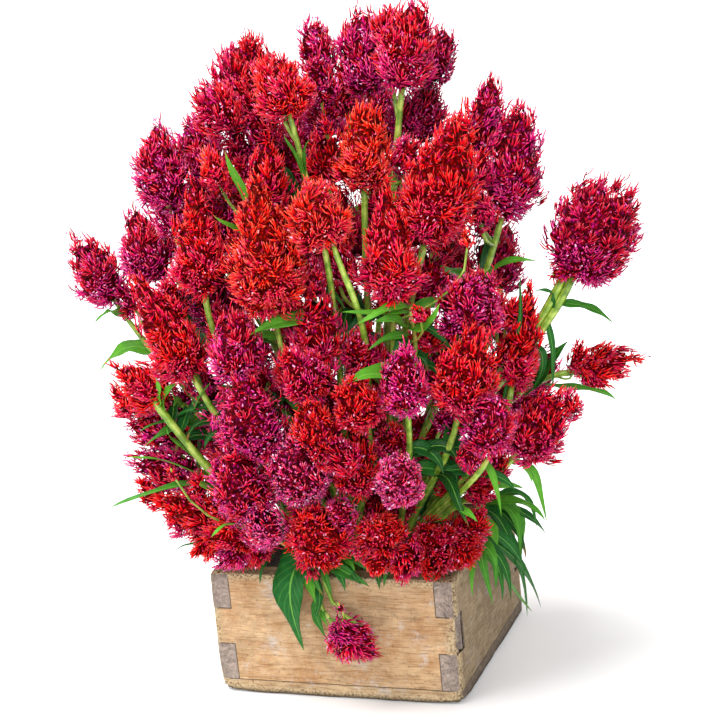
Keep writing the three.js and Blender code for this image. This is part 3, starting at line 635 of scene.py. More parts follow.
# The ones that show, in the same columns as the table of plumes.
YOUNG_PLUMES = [
    ("front_red", "scarlet", (60, -114, 160), (63, -168, 147), 46),
    ("front_red", "crimson", (86, -112, 160), (92, -172, 145), 50),
    ("corner", "scarlet", (108, -108, 160), (119, -168, 146), 50),
    ("corner", "scarlet", (126, -98, 162), (144, -146, 147), 46),
    ("rim_left", "magenta", (-76, -112, 160), (-80, -170, 149), 46),
    ("rim_left", "scarlet", (-104, -106, 160), (-116, -158, 153), 42),
    ("rim_left", "magenta", (-46, -128, 165), (-55, -163, 186), 40),
    ("front_star", "magenta", (32, -140, 190), (44, -186, 214), 40),
    ("left_tall", "crimson", (-35, -56, 501), (-44, -69, 559), 46),
    ("crown_left", "magenta", (7, -24, 538), (6, -37, 595), 46),
    ("crown", "crimson", (23, -2, 526), (25, -15, 585), 48),
    ("crown", "crimson", (69, -6, 586), (74, -15, 632), 42),
    ("left_magenta", "magenta", (-114, -87, 439), (-134, -98, 491), 48),
    ("left_magenta", "orange", (-64, -108, 483), (-75, -117, 525), 30),
    ("left_magenta", "plum", (-50, -75, 492), (-61, -86, 542), 40),
    ("far_left", "magenta", (-174, -80, 362), (-194, -89, 402), 38),
    ("centre_red", "crimson", (30, -85, 387), (30, -97, 442), 44),
    ("upper_red", "scarlet", (25, -65, 412), (25, -76, 463), 40),
    ("core", "crimson", (53, -96, 319), (56, -105, 362), 36),
    ("core", "crimson", (-2, -133, 304), (-6, -149, 350), 40),
    ("core", "crimson", (7, -123, 345), (3, -134, 394), 40),
    ("mid_magenta", "crimson", (70, -101, 237), (80, -125, 275), 40),
    ("mid_magenta", "scarlet", (104, -91, 329), (115, -102, 377), 40),
    ("low_left_red", "scarlet", (-178, -106, 275), (-196, -119, 310), 36),
    ("left_pink", "scarlet", (-160, -99, 187), (-182, -119, 216), 38),
    ("left_pink", "crimson", (-132, -111, 164), (-150, -131, 194), 40),
    ("dusk_crimson", "crimson", (216, -59, 262), (234, -70, 290), 38),
    ("left_scarlet", "crimson", (-65, -115, 336), (-78, -126, 387), 44),
    ("lean_scarlet", "scarlet", (-111, -123, 338), (-130, -134, 389), 44),
    ("mid_red", "crimson", (44, -153, 238), (46, -180, 280), 42),
    ("heart", "magenta", (-55, -149, 189), (-71, -174, 229), 42),
    ("crown", "crimson", (83, -40, 477), (96, -44, 518), 40),
    ("left_scarlet", "crimson", (-130, -115, 372), (-118, -118, 412), 36),
    ("right_rose", "crimson", (148, -60, 199), (160, -62, 239), 36),
    ("rim_left", "scarlet", (-116, -125, 198), (-103, -130, 233), 34),
    ("big_orange", "crimson", (10, -100, 386), (13, -104, 424), 32),
    ("left_tall", "crimson", (-55, -85, 477), (-53, -88, 515), 36),
    ("mid_magenta", "scarlet", (119, -136, 368), (114, -142, 386), 17),
    ("right_scarlet", "orange", (159, -115, 426), (160, -118, 446), 15),
    ("left_pink", "orange", (-114, -168, 233), (-117, -172, 247), 13),
    ("hanging", "pink", (25, -146, 101), (21, -148, 114), 11),
    ("dusk_red", "crimson", (168, -46, 337), (187, -52, 373), 34),
    ("far_right", "scarlet", (211, 15, 278), (224, 12, 314), 22),
    ("far_right", "scarlet", (219, 15, 278), (250, 10, 265), 20),
    ("far_right", "scarlet", (223, 20, 284), (254, 24, 308), 24),
    ("lone_big", "scarlet", (221, -24, 384), (205, -34, 383), 26),
    ("lean_scarlet", "crimson", (-149, -60, 218), (-148, -62, 278), 54),
    ("far_left", "plum", (-143, -50, 347), (-136, -52, 396), 48),
    ("left_magenta", "magenta", (-146, -60, 410), (-141, -62, 448), 36),
    ("high_orange", "crimson", (20, -30, 335), (22, -32, 383), 50),
    ("right_fire", "crimson", (106, -50, 177), (108, -52, 236), 46),
    ("crown_left", "plum", (-124, -30, 458), (-126, -30, 491), 36),
    ("left_open", "scarlet", (-7, -98, 552), (-18, -106, 596), 30),
    ("left_open", "scarlet", (-2, -98, 555), (14, -106, 596), 28),
    ("left_open", "scarlet", (3, -98, 551), (36, -110, 572), 26),
    ("left_open", "scarlet", (-5, -98, 548), (-28, -110, 557), 26),
    ("crown", "plum", (71, 18, 501), (72, 20, 551), 44),
    ("left_scarlet", "plum", (-44, -62, 267), (-44, -64, 303), 36),
    ("left_scarlet", "plum", (-120, -75, 282), (-117, -77, 318), 42),
    ("centre_red", "crimson", (-30, -112, 238), (-23, -116, 273), 36),
    ("centre_red", "crimson", (21, -60, 367), (24, -62, 399), 34),
    ("right_magenta", "crimson", (132, 38, 400), (136, 40, 436), 38),
    ("right_scarlet", "crimson", (141, -20, 460), (153, -22, 500), 40),
    ("right_scarlet", "crimson", (150, -32, 426), (150, -36, 468), 38),
    ("dusk_red", "scarlet", (154, -25, 332), (165, -27, 371), 36),
    ("lean_scarlet", "plum", (-145, -70, 259), (-148, -72, 299), 40),
    ("left_tall", "crimson", (-38, -60, 548), (-31, -62, 598), 46),
]


# %% Growing the young plumes
BRANCH_DROP = 8 * MM  # how far a young plume's neck is above the joint of its branch, at the least,
BRANCH_RISE = 0.6  # and how much further for each step that it is aside
FLAT_COST = 1.5  # how much further away a joint counts for each step that it is too high
JOINTS, LOWEST_JOINT = 24, 6
OUTWARD, UPRIGHT = 0.55, 0.62
NECK_BELOW, TIP_ABOVE = 0.62, 0.78  # how far a young plume's ends are from the free point, in girths


def add_young_plume(bunch, colour, neck, tip, girth):
    plume = make_plume(bunch, colour, neck, tip, girth)
    carriers = [stem for stem in stems.values() if stem.name in bunches]
    joints = np.concatenate([even_points(stem.knots, JOINTS)[LOWEST_JOINT:-1] for stem in carriers])
    aside = np.linalg.norm(joints[:, :2] - plume.neck[:2], axis=1)
    drop = plume.neck[2] - joints[:, 2]
    too_flat = np.maximum(BRANCH_DROP + BRANCH_RISE * aside - drop, 0)
    cost = np.linalg.norm(joints - plume.neck, axis=1) + FLAT_COST * too_flat
    best = int(cost.argmin())
    plume.bunch = bunch or carriers[best // (JOINTS - LOWEST_JOINT - 1)].name
    plume.joint = joints[best]
    plumes.append(plume)
    bunches[plume.bunch].append(plume)
    return plume


def fill_gap(middle, room, neighbour):
    girth = min(ROOM_TO_GIRTH * room, YOUNG_GIRTH[1])
    axis = unit(OUTWARD * unit(middle - DOME_MIDDLE) + [0, 0, UPRIGHT])
    neck, tip = middle - NECK_BELOW * girth * axis, middle + TIP_ABOVE * girth * axis
    return add_young_plume(None, YOUNG_COLOURS[neighbour.colour], neck / MM, tip / MM, girth / MM)


def grow_young_plumes():
    dice = np.random.default_rng(5)
    points = dice.uniform(np.array(cad_low), np.array(cad_high), (GAP_POINTS, 3))
    points = points[inside_dome(points)]
    room = np.stack([room_beside(points, plume) for plume in plumes])
    made = []
    while len(made) < MOST_YOUNG:
        left = room.min(axis=0)
        best = int(left.argmax())
        if ROOM_TO_GIRTH * left[best] < YOUNG_GIRTH[0]:
            break
        neighbour = plumes[int(room[:, best].argmin())]
        made.append(fill_gap(points[best], left[best], neighbour))
        room = np.vstack([room, room_beside(points, made[-1])])
    return made


young_plumes = [add_young_plume(*row) for row in YOUNG_PLUMES]
young_plumes += grow_young_plumes()
print(len(young_plumes), "young plumes,", len(YOUNG_PLUMES), "of them from the table")

# %% [markdown]
# ## Gathering loose shapes into one mesh
#
# A thousand bristles as a thousand objects would bring Blender to its knees. So each bunch is one
# mesh, and `Gatherer` collects the points, faces, paint and finish of its parts as plain arrays. At
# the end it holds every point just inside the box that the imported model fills.

# %% Gatherer
INSIDE_BY = 1e-4


class Gatherer:
    def __init__(self):
        self.points, self.faces, self.paint, self.finish_of_face = [], [], [], []
        self.finishes = []
        self.count = 0

    def add_faces(self, first_point, faces, finish):
        if finish not in self.finishes:
            self.finishes.append(finish)
        self.faces.extend((np.asarray(faces) + first_point).tolist())
        self.finish_of_face.extend([self.finishes.index(finish)] * len(faces))

    def add(self, points, faces, paint, finish):
        self.points.append(points)
        self.paint.append(np.broadcast_to(paint, points.shape))
        self.add_faces(self.count, faces, finish)
        self.count += len(points)

    def make_object(self, name):
        points = np.concatenate(self.points)
        points = np.clip(points, np.array(cad_low) + INSIDE_BY, np.array(cad_high) - INSIDE_BY)
        mesh = bpy.data.meshes.new(name)
        mesh.from_pydata(points.tolist(), [], self.faces)
        paint = mesh.attributes.new("paint", "FLOAT_VECTOR", "POINT")
        paint.data.foreach_set("vector", np.concatenate(self.paint).astype(np.float32).ravel())
        for finish in self.finishes:
            mesh.materials.append(finish)
        mesh.polygons.foreach_set("material_index", self.finish_of_face)
        mesh.shade_smooth()
        made = bpy.data.objects.new(name, mesh)
        bpy.context.scene.collection.objects.link(made)
        return made


def triangles_of(piece):
    return sum(len(polygon.vertices) - 2 for polygon in piece.data.polygons)


# %% [markdown]
# ## The form of a plume
#
# A plume is an egg round its axis, drawn out to a flame toward the tip. Everything on it is placed from
# its heart, a point a third of the way up. `reach` says how far the egg's surface is from the heart
# in a direction, and `spread` puts points evenly on that surface: a golden-angle spiral, spaced by
# the area that each turn covers, gives no rows and no bald spots.

# %% The form of a plume
GOLDEN_TURN = math.pi * (3 - math.sqrt(5))
STEM_SIDE = -0.93  # directions nearer than this to the stem stay free
EGG_SWELL = 0.08  # how much wider than its girth the egg of a fully pointed plume is
FLAME_LENGTH, FLAME_WIDTH = 0.74, 0.96  # the flame's reach along the axis and across it


def reach(plume, up):
    """How far the surface is from the heart. up is 1 toward the tip and -1 toward the stem."""
    a, b = plume.length / 2, plume.girth / 2 * (1 + EGG_SWELL * plume.pointed)
    offset = (HEART_AT - 0.5) * plume.length
    along = (up / a) ** 2 + (1 - up**2) / b**2
    cross = up * offset / a**2
    rest = (offset / a) ** 2 - 1
    egg = (-cross + np.sqrt(cross**2 - along * rest)) / along
    # A known fault: rounding can make up a hair more than 1 at a plume's very tip, and the square root
    # then has no value, so the core lacks that point. Clipping up to between -1 and 1 would mend it.
    taper = np.maximum(up, 0) / (FLAME_LENGTH * plume.length) + np.sqrt(1 - up**2) / (FLAME_WIDTH * b)
    flame = 1 / taper
    return np.where(up > 0, egg ** (1 - plume.pointed) * flame**plume.pointed, egg)


def frame_of(axis):
    sideways = unit(np.cross(axis, [0.3, 0.9, 0.1]))
    return sideways, np.cross(axis, sideways)


def surface_area(plume):
    angle = np.linspace(0, math.pi, 60)
    radius = reach(plume, np.cos(angle))
    profile = np.stack([radius * np.sin(angle), radius * np.cos(angle)])
    belt = np.hypot(*np.diff(profile)) * (profile[0, 1:] + profile[0, :-1]) * math.pi
    return angle, np.concatenate([[0], np.cumsum(belt)])


def spread(plume, count, turn=0.0):
    """Directions from the heart, even on the plume's surface, and clear of the stem."""
    angle, area = surface_area(plume)
    share = (np.arange(count) + 0.5) / count * area[-1]
    polar = np.interp(share, area, angle)
    around = np.arange(count) * GOLDEN_TURN + turn
    first, second = frame_of(plume.axis)
    flat = np.outer(np.cos(around), first) + np.outer(np.sin(around), second)
    directions = np.cos(polar)[:, None] * plume.axis + np.sin(polar)[:, None] * flat
    return directions[directions @ plume.axis > STEM_SIDE]


# %% [markdown]
# ## Plumes that press on each other
#
# Where two plumes meet, the bristles of each give way. A point belongs to the plume whose axis is
# nearest, counted in girths, so that a big plume keeps more room than a small one. Points that
# belong to a neighbour are drawn back toward their own heart, and the box counts as a neighbour too.

# %% Plumes that press on each other
spine_feet = np.array([plume.spine[0] for plume in plumes])
spine_ways = np.array([plume.spine[1] - plume.spine[0] for plume in plumes])
girths = np.array([plume.girth for plume in plumes])
box_low = Vector(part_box("bottom_board")[0])
box_high = Vector((*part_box("bottom_board")[1][:2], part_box("front_board")[1].z))
MINGLE = 1.28  # how far, as a part of the distance, bristles reach in between a neighbour's
PULL, PULLS = 0.9, 9  # a crowded point is drawn back this much at a time, and this often at most


def belongs_elsewhere(points, plume_index):
    way = points[:, None, :] - spine_feet
    part = np.clip((way * spine_ways).sum(-1) / (spine_ways**2).sum(-1), 0, 1)
    distance = np.linalg.norm(way - part[..., None] * spine_ways, axis=-1) / girths
    own = distance[:, plume_index].copy()
    distance[:, plume_index] = np.inf
    crowded = own > distance.min(axis=1) * MINGLE
    inside = (points > np.array(box_low)).all(axis=1) & (points < np.array(box_high) + 1 * MM).all(axis=1)
    return crowded | inside


def give_way(plume_index, points):
    """Draws points back where a neighbour crowds them. Returns them and the part that is left."""
    heart = plumes[plume_index].heart
    left = np.ones(len(points))
    for _ in range(PULLS):
        crowded = belongs_elsewhere(heart + (points - heart) * left[:, None], plume_index)
        left[crowded] *= PULL
    return heart + (points - heart) * left[:, None], left


# %% [markdown]
# ## Bristles and florets
#
# A bristle is a thin bent cone: two rings of three points along a curved line, and a point at the
# end. Rings of three are enough for something a millimetre thick, and with the second ring near the
# end the bristle keeps its width and then closes, as the real ones do. A floret is a tiny bud with
# three sides, open underneath, where the bed that it sits in hides it. Both are made for a whole
# plume at once with arrays, because a Python loop over every bristle would take minutes.

# %% Bristles and florets
CORNERS = np.arange(3) * 2 * np.pi / 3


def crosswise(heading):
    first = unit(np.cross(heading, [0.31, 0.22, 0.93]))
    return first, np.cross(heading, first)


def bent_cones(gather, root, bend, tip, half_width, rings, paint, finish):
    """Curved cones from root to tip, one for each row. rings lists (part of length, part of width)."""
    count = len(root)
    first, second = crosswise(unit(tip - root))
    layers, parts = [], []
    for part, width in rings:
        middle = (1 - part) ** 2 * root + 2 * part * (1 - part) * bend + part**2 * tip
        for corner in CORNERS:
            across = math.cos(corner) * first + math.sin(corner) * second
            layers.append(middle + across * (half_width * width)[:, None])
            parts.append(part)
    layers.append(tip)
    parts.append(1.0)
    size = len(layers)
    pattern = []
    for ring in range(0, size - 4, 3):
        for k in range(3):
            a, b = ring + k, ring + (k + 1) % 3
            pattern += [(a, b, b + 3), (a, b + 3, a + 3)]
    pattern += [(size - 4 + k, size - 4 + (k + 1) % 3, size - 1) for k in range(3)]
    faces = (np.arange(count)[:, None, None] * size + np.array(pattern)).reshape(-1, 3)
    points = np.stack(layers, axis=1).reshape(-1, 3)
    along = np.tile(parts, count)
    tone, pink = np.repeat(paint, size, axis=0).T
    gather.add(points, faces, np.stack([along, tone, pink], axis=1), finish)


def buds(gather, centre, heading, length, half_width, tone, finish):
    """Small florets, one for each row: three corners round the belly, and a tip."""
    first, second = crosswise(heading)
    half = (length / 2)[:, None] * heading
    belly = centre - 0.3 * half
    layers = []
    for corner in CORNERS:
        across = math.cos(corner) * first + math.sin(corner) * second
        layers.append(belly + half_width[:, None] * across)
    layers.append(centre + half)
    points = np.stack(layers, axis=1).reshape(-1, 3)
    count = len(centre)
    along = np.tile([0.4, 0.4, 0.4, 1.0], count)
    paint = np.stack([along, np.repeat(tone, 4), np.zeros(4 * count)], axis=1)
    pattern = np.array([[3, 0, 1], [3, 1, 2], [3, 2, 0]])
    faces = (np.arange(count)[:, None, None] * 4 + pattern).reshape(-1, 3)
    gather.add(points, faces, paint, finish)


# %% [markdown]
# ## Dressing a plume
#
# On a real plume the bristles stand in tufts, because each tuft is a short side branch. So the
# plume's surface is divided among tufts, some of which stand further out than others. Each bristle
# fans out from the middle of its own tuft, a centimetre under the surface. That makes small stars
# with dark valleys between them, which is what makes a plume look soft and deep. Curly bristles
# reach out past the short ones, and the florets fill the bed that they all stand in.
#
# No two plumes are alike. A pointed one bulges in a few lobes and has a ragged outline, and a blunt
# one is smooth. Patches of tufts are pinker than the rest, more of them near the foot. Bristles that
# few will see are thinned out: at the back, on plumes in the gaps, and on the sides that face the
# middle of the dome.

# %% Dressing a plume
# For each colour, how many to a square centimetre: short bristles, curly bristles and florets.
DENSITY = {
    "scarlet": (6.0, 1.2, 4.0),
    "crimson": (5.6, 1.2, 4.4),
    "magenta": (4.9, 1.1, 6.0),
    "plum": (4.3, 0.9, 5.0),
    "orange": (6.4, 1.3, 3.6),
    "pink": (3.1, 0.8, 9.5),
}
TUFT_SPACING = 13 * MM
TUFT_DEPTH = 15 * MM
TUFT_HEIGHTS = (0.96, 1.08)
HALF_TUFT = 0.62  # how far a tuft's own bristles stand from its middle, in spacings
TUFT_LEAN = 4.5 * MM  # how far a tuft leans to a side of its own
UPWARD = 1.1  # how much stronger than that it leans toward the plume's tip
LOBES = 8
LOBE_WIDTH = 0.42
BETWEEN_LOBES, LOBE_RISE = 0.88, 0.28
ROUGH_FROM = 0.4  # plumes that are less pointed than this have a smoother outline
# Two kinds of bristle. Curl is how strongly one bends at random, and sweep how strongly it arches up.
# Each ring is a part of its length, and how wide it is there. The reach range says how far out its
# tip may be, in parts of the plume's own reach.
SHORT = SimpleNamespace(length=10.5 * MM, half_width=0.74 * MM, curl=0.09, sweep=0.10)
SHORT.rings = [(0.0, 0.85), (0.68, 0.92)]
SHORT.reach_range = (0.90, 1.01)
CURLY = SimpleNamespace(length=13 * MM, half_width=0.70 * MM, curl=0.17, sweep=0.12)
CURLY.rings = [(0.0, 0.85), (0.45, 1.0), (0.8, 0.8)]
CURLY.reach_range = (0.98, 1.12)
FLORET_REACH = (0.84, 0.98)
BRISTLE_STRAY, FLORET_STRAY = 0.0018, 0.004  # metres off the line from the tuft's middle
FLORET_LENGTHS, FLORET_HALF_WIDTHS = (3.4, 5.6), (0.75, 1.2)  # in mm
# How much of a plume is pinker, by its bunch or its colour, and how much of all the others.
PINK_SHARE = {"magenta": 0.52, "crimson": 0.52, "pink": 0.6, "lone_big": 0.25, "crown": 0.7}
OTHER_PINK_SHARE = 0.42
PINK_FALL = 0.5  # how fast the pink fades from the foot to the tip
PATCH_SCALE, PATCH_STRENGTH = 2.1, 1.5
# Tones go up to 1. A bunch with a lower top is darker than the others, and with a higher one lighter.
# The corner and lone_big bunches are darkened this way as painted shade; the heart is lighter.
TOP_TONE = {"lone_big": 0.6, "corner": 0.3, "heart": 1.3}
LEAST_ROOM = 0.58  # a bristle with less of its reach left than this isn't grown
SQUARE_CENTIMETRE = 1e-4
BACK_FROM = 50 * MM
BACK_SHARE, GAP_SHARE, INWARD_SHARE = 0.62, 0.5, 0.28  # how many bristles are left where few see them
FACES_INWARD = -0.15


def make_tufts(plume, dice):
    _, area = surface_area(plume)
    count = max(8, round(area[-1] / TUFT_SPACING**2))
    ways = spread(plume, count, turn=dice.uniform(0, 6))
    tufts = SimpleNamespace(ways=unit(ways + dice.normal(0, 0.09, ways.shape)))
    lobes = spread(plume, LOBES, turn=dice.uniform(0, 6))
    bulge = np.exp(-((np.arccos(np.clip(ways @ lobes.T, -1, 1)) / LOBE_WIDTH) ** 2)).max(axis=1)
    tufts.height = dice.uniform(*TUFT_HEIGHTS, len(ways)) * (BETWEEN_LOBES + LOBE_RISE * bulge)
    tufts.height = 1 + (tufts.height - 1) * min(1, plume.pointed / ROUGH_FROM)
    rise = tufts.ways @ plume.axis
    far = reach(plume, rise) * tufts.height
    lean = dice.normal(0, 1, ways.shape) + UPWARD * plume.axis
    lean -= (lean * tufts.ways).sum(axis=1, keepdims=True) * tufts.ways
    lean *= np.minimum(far * np.sqrt(1 - rise**2) / TUFT_SPACING, 1)[:, None]
    sunk = np.maximum(far - TUFT_DEPTH, 0.45 * far)[:, None]
    tufts.middles = plume.heart + tufts.ways * sunk - lean * TUFT_LEAN
    tufts.size = HALF_TUFT * TUFT_SPACING / far
    own_corner = Vector((0, plume.index, 9))
    patch = np.array([noise.noise(Vector(way) * PATCH_SCALE + own_corner) for way in ways])
    share = PINK_SHARE.get(plume.bunch, PINK_SHARE.get(plume.colour, OTHER_PINK_SHARE))
    pink = share - PINK_FALL * rise + PATCH_STRENGTH * patch + dice.normal(0, 0.12, len(ways))
    tufts.pink = np.clip(pink, 0, 1)
    return tufts


def on_surface(plume_index, dice, tufts, per_area, reach_range):
    """Points on the tufted surface, with the tuft of each."""
    plume = plumes[plume_index]
    _, area = surface_area(plume)
    thin = 1
    if plume.heart[1] > BACK_FROM:
        thin = BACK_SHARE
    if plume.index >= len(PLUMES) + len(YOUNG_PLUMES):
        thin = GAP_SHARE
    count = int(thin * per_area * area[-1] / SQUARE_CENTIMETRE)
    ways = spread(plume, count, turn=dice.uniform(0, 6))
    ways = unit(ways + dice.normal(0, 0.03, ways.shape))
    shown = (plume.heart + ways * plume.girth / 2 - DOME_MIDDLE) * [1, 1, 0.6]
    inward = (unit(shown) * ways).sum(axis=1) < FACES_INWARD
    ways = ways[~inward | (dice.uniform(0, 1, len(ways)) < INWARD_SHARE)]
    nearness = ways @ tufts.ways.T
    tuft = nearness.argmax(axis=1)
    off_centre = np.arccos(np.clip(nearness.max(axis=1), -1, 1)) / tufts.size[tuft]
    lump = tufts.height[tuft] - 0.10 * np.minimum(off_centre, 1.4) ** 2
    far = reach(plume, ways @ plume.axis) * lump * dice.uniform(*reach_range, len(ways))
    points, left = give_way(plume_index, plume.heart + ways * far[:, None])
    kept = left > LEAST_ROOM
    return points[kept], tuft[kept]


def add_bristles(gather, plume_index, dice, tufts, per_area, shape):
    plume = plumes[plume_index]
    tip, tuft = on_surface(plume_index, dice, tufts, per_area, shape.reach_range)
    middle = give_way(plume_index, tufts.middles)[0][tuft]
    way = tip - middle + dice.normal(0, BRISTLE_STRAY, tip.shape)
    size = np.linalg.norm(way, axis=1, keepdims=True)
    root = tip - way * np.minimum(shape.length * dice.uniform(0.8, 1.2, size.shape) / size, 0.9)
    length = np.linalg.norm(tip - root, axis=1, keepdims=True)
    curl = dice.normal(0, shape.curl, tip.shape) - shape.sweep * plume.axis
    bend = (root + tip) / 2 + curl * length
    width = shape.half_width * dice.uniform(0.8, 1.2, len(tip))
    tone = dice.uniform(0, TOP_TONE.get(plume.bunch, 1), len(tip))
    paint = np.stack([tone, tufts.pink[tuft]], axis=1)
    bent_cones(gather, root, bend, tip, width, shape.rings, paint, plume_finishes[plume.colour][0])


def add_florets(gather, plume_index, dice, tufts, per_area):
    plume = plumes[plume_index]
    outer, tuft = on_surface(plume_index, dice, tufts, per_area, FLORET_REACH)
    kept = dice.uniform(0, 1, len(outer)) < 0.3 + 0.7 * tufts.pink[tuft]
    outer, tuft = outer[kept], tuft[kept]
    middle = give_way(plume_index, tufts.middles)[0][tuft]
    heading = unit(outer - middle + dice.normal(0, FLORET_STRAY, outer.shape))
    length = dice.uniform(*FLORET_LENGTHS, len(outer)) * MM
    half_width = dice.uniform(*FLORET_HALF_WIDTHS, len(outer)) * MM
    tone = dice.uniform(0, 1, len(outer))
    buds(gather, outer, heading, length, half_width, tone, plume_finishes[plume.colour][1])


# %% Cores and whole plumes
CORE_DEPTH = 8 * MM
FULL_GRID, YOUNG_GRID = (12, 16), (8, 12)  # how many rings and sides the core has


def add_core(gather, plume_index, tufts):
    """The bed of packed florets that fills a plume under its bristles."""
    plume = plumes[plume_index]
    core_rings, core_sides = FULL_GRID if plume_index < len(PLUMES) else YOUNG_GRID
    polar = np.linspace(0, math.pi, core_rings + 2)[1:-1]
    around = np.arange(core_sides) * 2 * np.pi / core_sides
    first, second = frame_of(plume.axis)
    flat = np.outer(np.cos(around), first) + np.outer(np.sin(around), second)
    rings = [math.cos(angle) * plume.axis + math.sin(angle) * flat for angle in polar]
    ways = np.concatenate([plume.axis[None], *rings, -plume.axis[None]])
    nearness = ways @ tufts.ways.T
    tuft = nearness.argmax(axis=1)
    off_centre = np.arccos(np.clip(nearness.max(axis=1), -1, 1)) / tufts.size[tuft]
    lump = tufts.height[tuft] - 0.12 * np.minimum(off_centre, 1.3)
    far = reach(plume, ways @ plume.axis) * lump
    points, _ = give_way(plume_index, plume.heart + ways * far[:, None])
    far = np.linalg.norm(points - plume.heart, axis=1)
    points = plume.heart + ways * np.maximum(far - CORE_DEPTH, 0.5 * far)[:, None]
    last = len(points) - 1
    faces = []
    for side in range(core_sides):
        nxt = (side + 1) % core_sides
        faces.append([0, 1 + side, 1 + nxt])
        for ring in range(core_rings - 1):
            a, b = 1 + ring * core_sides, 1 + (ring + 1) * core_sides
            faces.append([a + side, b + side, b + nxt])
            faces.append([a + side, b + nxt, a + nxt])
        low = 1 + (core_rings - 1) * core_sides
        faces.append([low + side, last, low + nxt])
    gather.add(points, faces, (0.0, 0.5, 0.5), plume_finishes[plume.colour][2])


def dress_plume(gather, plume_index):
    dice = np.random.default_rng(100 + plume_index)
    plume = plumes[plume_index]
    tufts = make_tufts(plume, dice)
    short_ones, curly_ones, florets = DENSITY[plume.colour]
    add_core(gather, plume_index, tufts)
    add_bristles(gather, plume_index, dice, tufts, short_ones, SHORT)
    add_bristles(gather, plume_index, dice, tufts, curly_ones, CURLY)
    add_florets(gather, plume_index, dice, tufts, florets)


plume_pieces = {}
for bunch, members in bunches.items():
    gather = Gatherer()
    for plume in members:
        dress_plume(gather, plume.index)
    plume_pieces[bunch] = gather.make_object(f"{bunch}_plumes")
print("triangles on the plumes:", sum(map(triangles_of, plume_pieces.values())))

# %% [markdown]
# ## Finishes of the greens
#
# A celosia's stem is juicy, ribbed and yellow-green, with a blush of red here and there, and darker
# toward its fork with painted shade under the dome. Its leaves run from grass green to a deep green,
# which on leaves deep in the dome is painted shade too, with a pale midrib, fine side veins that slant
# forward, a paler underside, and a rusty tip on some. The `paint` attribute gives the leaf finish its
# place along the blade, its tone, and how far it is from the midrib. The third number of a stem says
# which points are on a rib. Faces of a leaf's underside have a finish of their own, so nothing has to
# ask which side is seen.

# %% Finishes of the greens
DEEP_GREEN, FRESH_GREEN, RIB_GREEN = (0.07, 0.17, 0.012), (0.20, 0.34, 0.03), (0.40, 0.52, 0.11)
BLUSH, RUST = (0.42, 0.12, 0.05), (0.26, 0.075, 0.03)


def stem_finish():
    material, tree, shader = new_finish("ribbed stem", 0.38)
    along, _, rib = paint_of(tree)
    place = step(tree, "TexCoord").outputs["Object"]
    cloud = math_step(tree, "SUBTRACT", even_noise(tree, place, 120.0, Detail=5.0), 0.06)
    streak = math_step(tree, "ADD", math_step(tree, "MULTIPLY", rib, 0.16), cloud)
    green = ramp(tree, streak, (0.32, DEEP_GREEN), (0.52, FRESH_GREEN), (0.7, RIB_GREEN))
    blotch = even_noise(tree, place, 22.0, Detail=2.0)
    blush = ramp(tree, blotch, (0.60, grey(0)), (0.74, grey(0.5)))
    colour = blend(tree, blush, green, BLUSH)
    # A stem is darker toward its fork, painted shade under the dome, and a little lighter near its plume,
    # painted light.
    deep = ramp(tree, along, (0.0, (0.5, 0.62, 0.4)), (0.45, grey(1)), (1.0, (1.1, 1.08, 0.95)))
    colour = blend(tree, 1.0, colour, deep, "MULTIPLY")
    tree.links.new(colour, shader.inputs["Base Color"])
    add_bump(tree, shader, streak, 0.35, 0.0006)
    return material


def leaf_finish(name, deep, bright, rib, roughness):
    material, tree, shader = new_finish(name, roughness)
    along, tone, across = paint_of(tree)
    # At the lowest tones a leaf darkens to half its deep green: painted shade inside the dome.
    darkest = tuple(0.5 * c for c in deep)
    colour = ramp(tree, tone, (0.0, darkest), (0.12, deep), (1.0, bright))
    forward = math_step(tree, "MULTIPLY", across, 2.4)
    slant = math_step(tree, "SUBTRACT", math_step(tree, "MULTIPLY", along, 11.0), forward)
    saw = math_step(tree, "ABSOLUTE", math_step(tree, "SUBTRACT", math_step(tree, "FRACT", slant), 0.5))
    vein = ramp(tree, saw, (0.0, grey(0.22)), (0.14, grey(0)))
    midrib = ramp(tree, across, (0.03, grey(0.8)), (0.09, grey(0)))
    colour = blend(tree, vein, colour, rib)
    place = step(tree, "TexCoord").outputs["Object"]
    mottle = even_noise(tree, place, 130.0, Detail=4.0)
    shade = ramp(tree, mottle, (0.3, grey(0.78)), (0.7, grey(1.12)))
    colour = blend(tree, 1.0, colour, shade, "MULTIPLY")
    colour = blend(tree, midrib, colour, rib)
    odd = math_step(tree, "FRACT", math_step(tree, "MULTIPLY", tone, 37.0))
    rust_start = math_step(tree, "ADD", math_step(tree, "MULTIPLY", odd, 0.35), 0.86)
    rust = math_step(tree, "MULTIPLY", math_step(tree, "SUBTRACT", along, rust_start), 9.0)
    rust = math_step(tree, "MINIMUM", math_step(tree, "MAXIMUM", rust, 0.0), 0.85)
    colour = blend(tree, rust, colour, RUST)
    tree.links.new(colour, shader.inputs["Base Color"])
    add_bump(tree, shader, math_step(tree, "SUBTRACT", 1.0, vein), 0.45, 0.0005)
    shader.inputs["Specular IOR Level"].default_value = 0.12
    shader.inputs["Subsurface Weight"].default_value = 0.12
    shader.inputs["Subsurface Radius"].default_value = (0.3, 1.0, 0.1)
    shader.inputs["Subsurface Scale"].default_value = 0.002
    return material


stem_green = stem_finish()
leaf_top = leaf_finish("leaf", (0.009, 0.10, 0.016), (0.10, 0.33, 0.018), (0.15, 0.38, 0.06), 0.4)
leaf_back = leaf_finish("leaf underside", (0.018, 0.11, 0.016), (0.15, 0.35, 0.04), (0.26, 0.46, 0.10), 0.5)

# %% [markdown]
# ## Building a stem
#
# A stem is a tube swept along its arc. Every other line of points stands a little further out, which
# gives the ribs of a real celosia stem, and it swells where a leaf joins it. It runs on a few
# millimetres into its plume, so that no gap shows between the two. Under a heavy plume a stem is
# stout, or has a twin or two grown up beside it.

